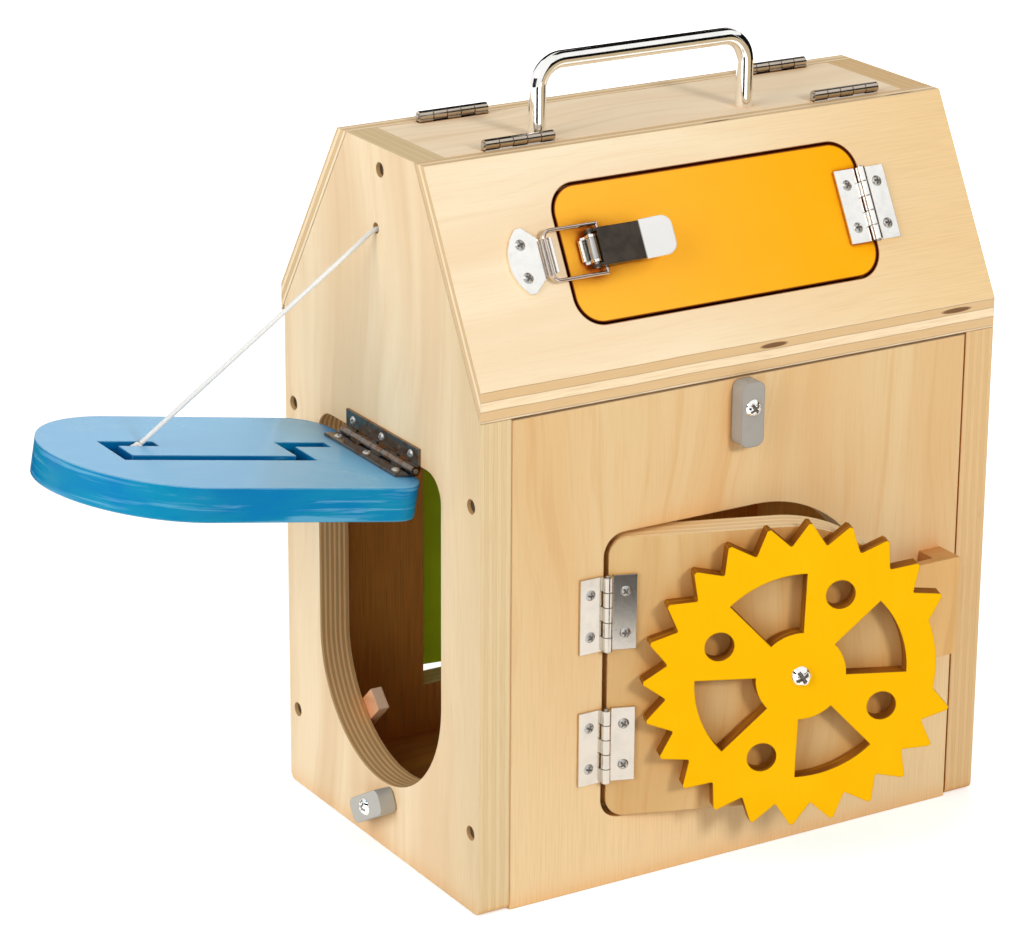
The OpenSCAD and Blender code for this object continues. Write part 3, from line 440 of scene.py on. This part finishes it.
def painted(name, out, grain, surface, colour, deep, pale, side, side_deep, rough=0.36, shine=0.2,
            side_shine=0.1, tip=0.5, side_brush=0.5, gap_outline=None, crevice_shade=None,
            reach=7 * MM, deep_at=0.3, drift=None):
    """Satin paint on wood: the grain telegraphs faintly, high spots are paler, and arrises are
    paler as a painted highlight.

    side and side_deep are the colours of its cut edges, tip how pale its arrises are as a painted
    highlight, side_brush how strong the brush marks on its edges, burnt an outline of painted shade
    from the gap inside its rim, crevice the tint of painted shade in its corners within reach, and
    drift the colour that its left end turns to as a painted sheen.
    """
    s = Shader(name)
    along, over, depth, edge = board_coordinates(s, out, grain, surface)
    fibre = s.noise(s.scaled((along, 30), (over, 900), (depth, 900)), 1, 3, 0.6)
    cloud = s.noise(s.scaled((along, 22), (over, 22), (depth, 60)), 1, 3, 0.6, 0.6)
    brush = s.noise(s.scaled((along, 26), (over, 26), (depth, 520)), 1, 3, 0.6, 0.4)
    face = s.mix(s.times(s.ramp(fibre, 0.4, 0.75), 0.22), srgb(*colour), srgb(*deep))
    face = s.mix(s.ramp(cloud, 0.46, 0.72, 0, 0.3), face, srgb(*pale))
    # Painted sheen: the left end turns paler.
    if drift:
        face = s.mix(s.ramp(s.dot(s.place, RIGHT), -0.07, 0.08, 0.8, 0), face, srgb(*drift))
    # Painted shade of the gap: just inside the rim the face turns to the colour of its cut edges.
    if gap_outline:
        face = s.mix(s.ramp(s.inset(*gap_outline), -0.8 * MM, -0.2 * MM), face, srgb(*side))
    sides = s.mix(s.ramp(cloud, 0.36, 0.64), srgb(*side), srgb(*side_deep))
    sides = s.mix(s.ramp(brush, 0.52, 0.70, 0, side_brush), sides, srgb(*pale))
    normal = s.rounded(0.9 * MM)
    base = s.mix(edge, face, sides)
    # Painted highlight: the arrises turn pale.
    base = s.mix(s.times(s.arris(normal), tip), base, srgb(*pale))
    # Painted shade: corners and spots under close pieces are multiplied by the given tint.
    if crevice_shade:
        base = s.mix(s.times(s.crevice_shade(reach, deep_at), 0.95), base, srgb(*crevice_shade), "MULTIPLY")
    return s.finish(Base_Color=base, Roughness=s.math("ADD", rough, s.times(cloud, 0.12)),
                    Specular_IOR_Level=s.mix(edge, (shine,) * 3 + (1,), (side_shine,) * 3 + (1,)),
                    Normal=s.bump(s.mix(edge, fibre, brush), 0.06 * MM, 0.45, normal))


ARRIS_SHADE_STEEL = (96, 86, 74)


def scratches(s, scale):
    """Fine noise drawn out by a scale along each axis."""
    drawn = s.node("Mapping", {"Vector": s.place, "Scale": scale}).outputs[0]
    return s.noise(drawn, 900, 2, 0.6)


def metal(name, colour, rough, brushed=0.25, smudge=0.05, reflected_brown=None, arris_shade=0.0):
    """Plated steel: slightly uneven gloss, fine scratches, brown patches of painted reflection
    where given, and arrises darkened as painted shade where given.
    """
    s = Shader(name)
    patch = s.noise(s.place, 160, 3, 0.6)
    fine = scratches(s, (1, 1, 22))
    gloss = s.math("ADD", rough - smudge / 2, s.times(patch, smudge))
    base = s.tone(s.ramp(patch, 0.35, 0.8), colour, 0.96)
    # Painted reflection: brown patches mottle the metal where given.
    if reflected_brown:
        base = s.mix(s.ramp(s.noise(s.place, 330, 3, 0.6), 0.48, 0.62), base, srgb(*reflected_brown))
    normal = s.rounded(0.25 * MM)
    # Painted shade: the arrises are darkened.
    if arris_shade:
        base = s.mix(s.times(s.arris(normal), arris_shade), base, srgb(*ARRIS_SHADE_STEEL))
    return s.finish(Base_Color=base, Metallic=1.0, Roughness=gloss,
                    Normal=s.bump(fine, 0.02 * MM, brushed, normal))


def plastic(name, colour):
    """Moulded plastic with a fine spark-eroded grain."""
    s = Shader(name)
    grain = s.noise(s.place, 2600, 2, 0.5)
    patch = s.noise(s.place, 90, 2, 0.5)
    tint = s.tone(s.times(s.ramp(patch, 0.4, 0.8), 0.4), colour, 0.93)
    return s.finish(Base_Color=tint, Roughness=s.math("ADD", 0.42, s.times(grain, 0.1)),
                    Normal=s.bump(grain, 0.03 * MM, 0.35, s.rounded(0.8 * MM)))


def cotton(name):
    """Braided white cotton with a fuzzy surface."""
    s = Shader(name)
    fuzz = s.noise(s.place, 4200, 3, 0.7)
    colour = s.mix(s.ramp(fuzz, 0.3, 0.8), srgb(214, 212, 206), srgb(250, 249, 246))
    return s.finish(Base_Color=colour, Roughness=0.85, Sheen_Weight=0.25, Sheen_Roughness=0.5,
                    Normal=s.bump(fuzz, 0.12 * MM, 0.6))


# ---------------------------------------------------------------- the cord
CORD_D = 2.0 * MM
CORD_START = corner(0.020, 0.0787, 0.2596)
CORD_HOLE = corner(0.0001, 0.0787, 0.2596)
CORD_BEND = corner(-0.0012, 0.0787, 0.2590)
CORD_SLOT = corner(-0.0975, 0.0881, 0.1865)
KNOT_INSIDE_R = 2.8 * MM
KNOT_OUTSIDE_R = 2.4 * MM
KNOT_LOOP = 0.72
KNOT_WIRE = 0.3
BEND_REACH = 3.0 * MM
CORD_RING = 0.5 * MM
STRAND_RISE = 2.2 * MM


def smooth_corner(before, at, after, reach, count):
    """Points of a curve that rounds a corner off, starting and ending reach away from it."""
    a = at + (before - at).normalized() * reach
    b = at + (after - at).normalized() * reach
    return [a.lerp(at, t).lerp(at.lerp(b, t), t) for t in (i / count for i in range(count + 1))]


def even_points(route, step):
    """Points along a route, about a step apart."""
    points = []
    for a, b in zip(route, route[1:]):
        count = max(1, round((b - a).length / step))
        points += [a.lerp(b, i / count) for i in range(count)]
    return points + [route[-1]]


def braid(ring, angle):
    """Eight strands wound both ways raise the surface of the cord a little."""
    turn = ring * CORD_RING / STRAND_RISE * math.pi
    return 0.97 + 0.03 * math.cos(4 * angle + turn) * math.cos(4 * angle - turn)


def trefoil(name, centre, radius):
    """A knot pulled tight, within a radius of its centre."""
    points = [centre + radius * KNOT_LOOP / 3 * Vector((math.sin(t) + 2 * math.sin(2 * t),
                                                        -1.6 * math.sin(3 * t),
                                                        math.cos(t) - 2 * math.cos(2 * t)))
              for t in circle(72)]
    return tube(name, points, radius * KNOT_WIRE, 10, closed=True)


def make_cord():
    corner_point = CORD_BEND.lerp(CORD_HOLE, 0.5)
    bend = smooth_corner(CORD_START, corner_point, CORD_SLOT, BEND_REACH, 8)
    points = even_points([CORD_START] + bend + [CORD_SLOT], CORD_RING)
    knot_in = CORD_START + KNOT_INSIDE_R * RIGHT
    knot_out = CORD_SLOT + KNOT_OUTSIDE_R * (CORD_SLOT - CORD_BEND).normalized()
    line = tube("cord_line", points, CORD_D / 2, 16, relief=braid)
    white = cotton("cotton_cord")
    inner_knot = trefoil("cord_knot_inside", knot_in, KNOT_INSIDE_R)
    outer_knot = trefoil("cord_knot_outside", knot_out, KNOT_OUTSIDE_R)
    for piece in (line, inner_knot, outer_knot):
        piece.data.materials.append(white)
    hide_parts("cord", "cord_inside")
    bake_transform(line)
    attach(inner_knot, "case")
    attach(outer_knot, "cord_line")


make_cord()


# ---------------------------------------------------------------- materials of the CAD nodes
def at(node, low=False):
    """A corner of a CAD node's box."""
    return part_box(node)[0 if low else 1]


HINGE_AXIS_UP = 2.3 * MM
HATCH_HALF_UP = 27.1 * MM
HATCH_R = 11 * MM
LEVER_TIP = 13.4 * MM


def face_at(joint, out):
    """A point of a door's outer face, which lies below its hinge's axis."""
    return Vector(JOINTS[joint]["pos_m"]) - out * HINGE_AXIS_UP


def dress_wood():
    # All the boards are one plywood; their tones differ as painted light and shade, the gables,
    # roof and ridge set lighter and the front and back panels and gear door darker.
    gable = dict(light=(250, 226, 188), dark=(237, 206, 164), streak=(226, 188, 140), figure=0.22,
                 contrast=0.32, shade_tint=(250, 214, 164))
    panel = dict(light=(229, 198, 148), dark=(225, 186, 132), streak=(214, 162, 104), figure=0.26,
                 shade_tint=(252, 206, 146))
    # Painted shade: the roof turns darker towards the right.
    roof = dict(light=(246, 227, 193), dark=(242, 217, 180), streak=(230, 194, 144), figure=0.18,
                ply=1.8 * MM, offset=1.4 * MM, cut=PLUMB_CUT, contrast=1.0, shade_tint=(246, 222, 186),
                edge_light=(250, 226, 188), edge_dark=(216, 176, 122),
                drift=(RIGHT, -0.06, 0.13, (237, 199, 140)))
    # Painted shade: the sides of the boards that face into the box, and the floor board, get this
    # deep brown.
    inside = (212, 146, 66)
    opening = (0.001, 0.056, 0.19, ((244, 204, 146), (190, 140, 86)))
    dress(plywood("gable_left_ply", LEFT, UP, at("left_gable", True), inner_shade=inside, rim=opening,
                  edge_light=(228, 203, 158), edge_dark=(206, 174, 124),
                  drift=(FRONT, 0.035, 0.074, (226, 198, 154)), **gable), "left_gable")
    # Painted shade: the right gable's cut edges are set darker than the left's.
    dress(plywood("gable_right_ply", RIGHT, UP, at("right_gable"), inner_shade=inside,
                  edge_light=(228, 192, 140), edge_dark=(208, 166, 110), **gable), "right_gable")
    dress(plywood("front_ply", FRONT, UP, at("front_panel", True), inner_shade=inside,
                  drift=(UP, 0.17, 0.01, (242, 212, 164)), **panel), "front_panel")
    dress(plywood("back_ply", BACK, UP, at("back_panel"), inner_shade=inside, **panel), "back_panel")
    gear_face = face_at("gear_door_hinge", GEAR_OUT)
    dress(plywood("gear_door_ply", GEAR_OUT, UP, gear_face, light=(215, 182, 128),
                  dark=(208, 168, 112), streak=(198, 146, 88), shade_tint=(255, 214, 116)), "gear_door")
    dress(plywood("floor_ply", UP, RIGHT, at("floor_board"), light=inside, dark=(190, 124, 64),
                  streak=(164, 98, 44)), "floor_board")
    dress(plywood("ridge_ply", UP, RIGHT, at("ridge_board"), light=(255, 233, 200),
                  dark=(250, 224, 188), streak=(232, 200, 156)), "ridge_board")
    slope_point = corner(0, 0.0421, 0.2924)
    voids = [(0.0125, 7 * MM, 1.3 * MM), (0.1010, 8 * MM, 1.2 * MM)]
    low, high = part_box("hatch")
    hatch_hole = ((low + high) / 2, (high.x - low.x) / 2, HATCH_HALF_UP, HATCH_R)
    dress(plywood("front_lid_ply", SLOPE, RIGHT, slope_point, marks=voids, gap_outline=hatch_hole,
                  **roof), "front_lid")
    dress(plywood("rear_lid_ply", REAR_SLOPE, RIGHT, at("rear_lid"), **roof), "rear_lid")
    dress(plywood("keeper_wood", FRONT, UP, at("gear_keeper", True), ply=50 * MM,
                  light=(232, 188, 124), dark=(224, 176, 110), streak=(210, 154, 90),
                  edge_light=(206, 156, 96), edge_dark=(176, 124, 66)), "gear_keeper")
    dress(plywood("stop_wood", RIGHT, BACK, at("stop_block"), light=(250, 206, 170),
                  dark=(226, 170, 130), streak=(200, 140, 96), ply=50 * MM,
                  edge_light=(250, 210, 176)), "stop_block")
    # Painted light on the paints: the hatch is shaded under its latch and paled at its left end as
    # a sheen, and the blue door is shaded near its hinge.
    dress(painted("orange_paint", SLOPE, RIGHT, slope_point, (252, 174, 8), (246, 164, 2),
                  (255, 184, 44), (124, 52, 16), (106, 42, 12), rough=0.5, shine=0.06, tip=0.0,
                  side_brush=0.0, gap_outline=hatch_hole, crevice_shade=(150, 58, 22), reach=8 * MM,
                  deep_at=0.5, drift=(254, 184, 62)), "hatch")
    dress(painted("yellow_paint", GEAR_OUT, UP, gear_face, (246, 182, 0), (242, 174, 0),
                  (255, 194, 16), (154, 92, 24), (124, 70, 16), rough=0.5, shine=0.06, tip=0.25,
                  side_brush=0.2), "gear")
    dress(painted("blue_paint", DROP_OUT, DROP_ALONG, face_at("drop_door_hinge", DROP_OUT),
                  (106, 184, 232), (82, 170, 222), (142, 202, 232), (0, 120, 174), (12, 134, 172),
                  rough=0.2, shine=0.5, tip=0.8, side_brush=0.35, crevice_shade=(90, 170, 210),
                  reach=18 * MM), "drop_door")
    dress(painted("green_paint", BACK_OUT, UP, face_at("back_door_hinge", BACK_OUT),
                  (200, 250, 44), (182, 232, 30), (166, 204, 60), (130, 176, 20), (110, 152, 12)),
          "back_door")


def lever_metal(name, plate, tip, low, high):
    """Plated steel with painted reflections: its flat body is dark up to low and its raised end
    bright from high.
    """
    s = Shader(name)
    patch = s.noise(s.place, 120, 3, 0.6)
    fine = scratches(s, (22, 1, 1))
    body = s.tone(s.ramp(patch, 0.35, 0.7), plate, 0.8)
    end = s.ramp(s.dot(s.place, RIGHT), low, high)
    return s.finish(Base_Color=s.mix(end, body, srgb(*tip)), Metallic=1.0,
                    Roughness=s.math("ADD", 0.26, s.times(patch, 0.1)),
                    Normal=s.bump(fine, 0.02 * MM, 0.3, s.rounded(0.4 * MM)))


def dress_metal():
    """Gives the metal and plastic nodes their materials, and returns those the screws share."""
    nickel = metal("nickel_plate", (254, 252, 247), 0.16, 0.06, smudge=0.03, arris_shade=0.7)
    dull = metal("nickel_dull", (216, 208, 196), 0.17, 0.3, arris_shade=0.6)
    # The drop hinge's nickel is set darker as painted reflection of dark surroundings, with brown
    # patches as painted reflection of the wood.
    dark = metal("nickel_dark", (124, 118, 110), 0.16, 0.4, reflected_brown=(122, 84, 54))
    steel = metal("zinc_steel", (188, 186, 182), 0.33)
    chrome = metal("chrome_plate", (250, 249, 246), 0.06, 0.03, smudge=0.02)
    dress(nickel, "hatch_lid_leaf", "hatch_leaf", "strike_plate", "latch_base")
    dress(metal("nickel_ridge", (198, 186, 172), 0.17, 0.3, arris_shade=0.8), "ridge_fixed_leaves",
          "front_lid_leaves", "rear_lid_leaves")
    dress(dull, "gear_frame_leaves", "gear_door_leaves", "back_frame_leaves", "back_door_leaves")
    dress(dark, "drop_frame_leaf", "drop_door_leaf")
    dress(steel, "handle_screws", "ridge_pins", "hatch_pin", "latch_pin", "gear_hinge_pins",
          "gear_washer", "drop_hinge_pin", "back_hinge_pins", "latch_base_screws")
    # Painted shade: the case screws sit deep in their holes, so their steel is set dark.
    dress(metal("recess_shaded_steel", (112, 98, 84), 0.45), "case_screws")
    dress(chrome, "handle", "gear_axle_screw")
    # Painted reflection: the bail's chrome is set darker and pinkish.
    dress(metal("bail_wire", (206, 190, 180), 0.10, 0.1, arris_shade=0.5), "latch_bail")
    tip_start = at("latch_lever").x - LEVER_TIP
    dress(lever_metal("lever_plate", (86, 78, 70), (250, 248, 244), tip_start,
                      tip_start + 0.8 * MM), "latch_lever")
    # Painted light: the two buttons are one grey, set darker on the front one and lighter on the
    # side one.
    dress(plastic("grey_plastic_front", (165, 160, 152)), "front_button")
    dress(plastic("grey_plastic_side", (186, 183, 174)), "side_button")
    return steel, chrome


dress_wood()
STEEL, CHROME = dress_metal()


# ---------------------------------------------------------------- screws
def screw_head(verts, faces, slots, top, out, radius, height, turn):
    """A domed cross-recess head: rings of points whose height drops inside the cross."""
    across, along = frame_along(out)
    rings, sides = 14, 56
    wing, length, depth = radius * 0.15, radius * 0.62, height * 0.8
    start = len(verts)

    def sunk(r, t):
        """1 inside the cross and 0 outside it, at a radius and an angle."""
        x, y = abs(r * math.cos(t)), abs(r * math.sin(t))
        near_wing = min(max(x - wing, y - length), max(y - wing, x - length))
        return min(1, max(0, 0.5 - near_wing / (radius * 0.1)))

    for i in range(rings + 1):
        r = radius * i / rings
        for t in circle(sides):
            dome = height * (1 - (r / radius) ** 2.6)
            z = dome - depth * sunk(r, t) * (1 - 0.4 * r / length if r < length else 0.6)
            x, y = r * math.cos(t + turn), r * math.sin(t + turn)
            verts.append(top + x * across + y * along + (z - height) * out)
    for i in range(rings):
        for k in range(sides):
            m = (k + 1) % sides
            a, b = start + i * sides, start + (i + 1) * sides
            if sunk(radius * (i + 0.5) / rings, 2 * math.pi * (k + 0.5) / sides) > 0.5:
                slots.append(len(faces))
            faces.append((a + k, b + k, b + m, a + m) if i else (a, b + k, b + m))


def screw_skirt(verts, faces, base, out, radius, drop):
    """A short wall under a head's rim, down into what it holds."""
    across, along = frame_along(out)
    start, sides = len(verts), 24
    for level, r in ((0, radius), (drop, radius * 0.96)):
        for t in circle(sides):
            verts.append(base - level * out + r * (math.cos(t) * across + math.sin(t) * along))
    for k in range(sides):
        m = (k + 1) % sides
        faces.append((start + k, start + sides + k, start + sides + m, start + m))


def screws(node, body, normals, radius, height, material):
    """Replaces a CAD node's plain screws with cross-recess heads, one for each solid."""
    verts, faces, slots = [], [], []
    for group, out in zip(solids(node), normals):
        reach = max(p.dot(out) for p in group)
        rim = [p for p in group if p.dot(out) > reach - 1.2 * height]
        low = Vector(map(min, *[tuple(p) for p in rim]))
        high = Vector(map(max, *[tuple(p) for p in rim]))
        centre = (low + high) / 2
        top = centre + out * (reach - centre.dot(out))
        screw_head(verts, faces, slots, top, out, radius, height, random.uniform(0, math.pi / 2))
        screw_skirt(verts, faces, top - out * height, out, radius, 0.5 * height)
    piece = mesh_object(node + "_heads", verts, faces)
    piece.data.materials.append(material)
    piece.data.materials.append(SLOT_SHADE)
    for index in slots:
        piece.data.polygons[index].material_index = 1
    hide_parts(node)
    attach(piece, body)


def make_screws():
    small, smaller, low = 2.2 * MM, 1.8 * MM, 1.1 * MM
    for node, body, normals, radius in (
            ("gear_frame_screws", "case", [FRONT] * 4, small),
            ("gear_door_screws", "gear_panel", [GEAR_OUT] * 4, small),
            ("hatch_screws", "hatch_flap", [SLOPE] * 2, small),
            ("hatch_lid_screws", "front_roof", [SLOPE] * 2, small),
            ("strike_screws", "front_roof", [SLOPE] * 2, small),
            ("drop_frame_screws", "case", [LEFT] * 3, smaller),
            ("drop_door_screws", "drop_panel", [DROP_OUT] * 3, smaller),
            ("back_frame_screws", "case", [BACK] * 4, small),
            ("back_door_screws", "back_flap", [BACK_OUT] * 4, small)):
        screws(node, body, normals, radius, low, STEEL)
    screws("button_screws", "case", [LEFT, FRONT], 3.6 * MM, 2.1 * MM, CHROME)
    screws("gear_axle_screw", "gear_panel", [GEAR_OUT], 4.4 * MM, 2.7 * MM, CHROME)


# Painted shade: the cross recesses of the screw heads get a darker steel.
SLOT_SHADE = metal("screw_slot", (136, 130, 122), 0.5)
make_screws()


# ---------------------------------------------------------------- studio
AMBIENT = 0.38
FLOOR_GLOW = 0.5
FAR_FLOOR_GLOW = 0.95
FLOOR_HALF = 3.0
# The dark base of the cards below, shown only in shiny surfaces as painted dark reflection.
REFLECTED_DARK = (22, 20, 18)
LIT_POINT = Vector((0, 0, 0.15))
# name, place, side, power, and whether shiny surfaces mirror it
LAMPS = (
    ("fill", (-1.60, -0.27, 0.86), 1.2, 18, True),
    ("key", (0.36, -2.34, 1.28), 0.5, 30, False),
    ("back", (1.10, 1.24, 0.89), 1.0, 11, False),
)
# The cards are painted reflections: sheets that only shiny surfaces see, the black ones darkening
# the metal's reflections and card_tan glowing tan to put a reflection of the wood into it.
BLACK = (0, 0, 0)
# name, centre, the point it faces, width and height, and the colour it glows with
CARDS = (
    ("flag_front", (0.84, -1.80, 0.60), (0, 0, 0.3), (1.5, 1.25), BLACK),
    ("card_tan", (0.25, -0.42, 0.10), (0, -0.02, 0.32), (0.45, 0.40), (206, 184, 148)),
    ("flag_back", (0.31, 0.50, 0.44), (0, 0, 0.44), (0.26, 0.84), BLACK),
    ("flag_top", (0.325, 0.166, 0.89), (0, -0.019, 0.32), (0.36, 0.74), BLACK),
    ("flag_side", (-0.62, -0.12, 0.38), (-0.06, -0.05, 0.25), (0.5, 0.26), BLACK),
    ("flag_post", (-0.38, -0.48, 0.11), (-0.05, -0.02, 0.3), (0.26, 0.30), BLACK),
    ("flag_bend", (0.02, 0.22, 0.50), (0.02, 0, 0.50), (0.30, 0.30), BLACK),
    ("flag_right", (0.80, -0.15, 0.30), (0.045, -0.02, 0.30), (1.0, 0.70), BLACK),
    ("flag_left", (-0.30, 0.30, 0.08), (-0.12, 0, 0.15), (0.30, 0.16), BLACK),
    ("flag_hinge", (-0.055, -0.28, 0.056), (-0.055, -0.08, 0.056), (0.11, 0.052), BLACK),
)


def seen_directly(tree):
    """1 for camera, glossy and transmission rays, which see the white surroundings."""
    path = tree.nodes.new("ShaderNodeLightPath")
    total = path.outputs["Is Camera Ray"]
    for name in ("Is Glossy Ray", "Is Transmission Ray"):
        add = tree.nodes.new("ShaderNodeMath")
        add.operation = "MAXIMUM"
        tree.links.new(total, add.inputs[0])
        tree.links.new(path.outputs[name], add.inputs[1])
        total = add.outputs[0]
    return total


def make_world():
    """White where it is seen or mirrored, and a plain soft light on the object."""
    world = bpy.data.worlds.new("studio")
    bpy.context.scene.world = world
    world.use_nodes = True
    tree = world.node_tree
    background = tree.nodes["Background"]
    background.inputs["Color"].default_value = (1, 1, 1, 1)
    strength = tree.nodes.new("ShaderNodeMapRange")
    strength.inputs["To Min"].default_value = AMBIENT
    strength.inputs["To Max"].default_value = 1.0
    tree.links.new(seen_directly(tree), strength.inputs["Value"])
    tree.links.new(strength.outputs[0], background.inputs["Strength"])


def rectangle(name, centre, side, up):
    """A flat sheet, from the half of its width and the half of its height."""
    corners = [centre + a * side + b * up for a, b in ((-1, -1), (1, -1), (1, 1), (-1, 1))]
    return mesh_object(name, corners, [(0, 1, 2, 3)])


def make_floor():
    """Pale paper that keeps the object's shadow and fades to white away from it."""
    floor = rectangle("floor", Vector(), FLOOR_HALF * RIGHT, FLOOR_HALF * BACK)
    floor.location.z = -0.2 * MM
    s = Shader("floor_paper")
    away = s.node("VectorMath", {0: s.place}, operation="LENGTH").outputs["Value"]
    glow = s.times(seen_directly(s.tree), s.ramp(away, 0.5, 2.6, FLOOR_GLOW, FAR_FLOOR_GLOW))
    s.finish(Base_Color=srgb(232, 232, 232), Roughness=0.9, Emission_Color=(1, 1, 1, 1),
             Emission_Strength=glow)
    floor.data.materials.append(s.material)


def make_light(name, place, size, power, mirrored):
    """A square soft box aimed at the object."""
    lamp = bpy.data.lights.new(name, "AREA")
    lamp.shape = "RECTANGLE"
    lamp.size = lamp.size_y = size
    lamp.energy = power
    holder = bpy.data.objects.new(name, lamp)
    bpy.context.scene.collection.objects.link(holder)
    holder.location = place
    holder.visible_glossy = mirrored
    holder.rotation_euler = (LIT_POINT - Vector(place)).to_track_quat("-Z", "Y").to_euler()


def make_card(name, centre, faces_to, size, glow):
    """A card beside the object that only mirror-like surfaces see: a painted reflection, dark or in
    the colour it glows with.
    """
    centre = Vector(centre)
    out = (Vector(faces_to) - centre).normalized()
    side, up = frame_along(out)
    card = rectangle(name, centre, size[0] / 2 * side, size[1] / 2 * up)
    s = Shader(name + "_reflection_card")
    card.data.materials.append(s.finish(Base_Color=srgb(*REFLECTED_DARK), Roughness=1.0,
                                        Specular_IOR_Level=0.0, Emission_Color=srgb(*glow),
                                        Emission_Strength=1.0))
    for kind in ("camera", "diffuse", "transmission", "volume_scatter", "shadow"):
        setattr(card, "visible_" + kind, False)


make_world()
make_floor()
for lamp in LAMPS:
    make_light(*lamp)
for card in CARDS:
    make_card(*card)

bpy.context.scene.view_settings.view_transform = "Standard"
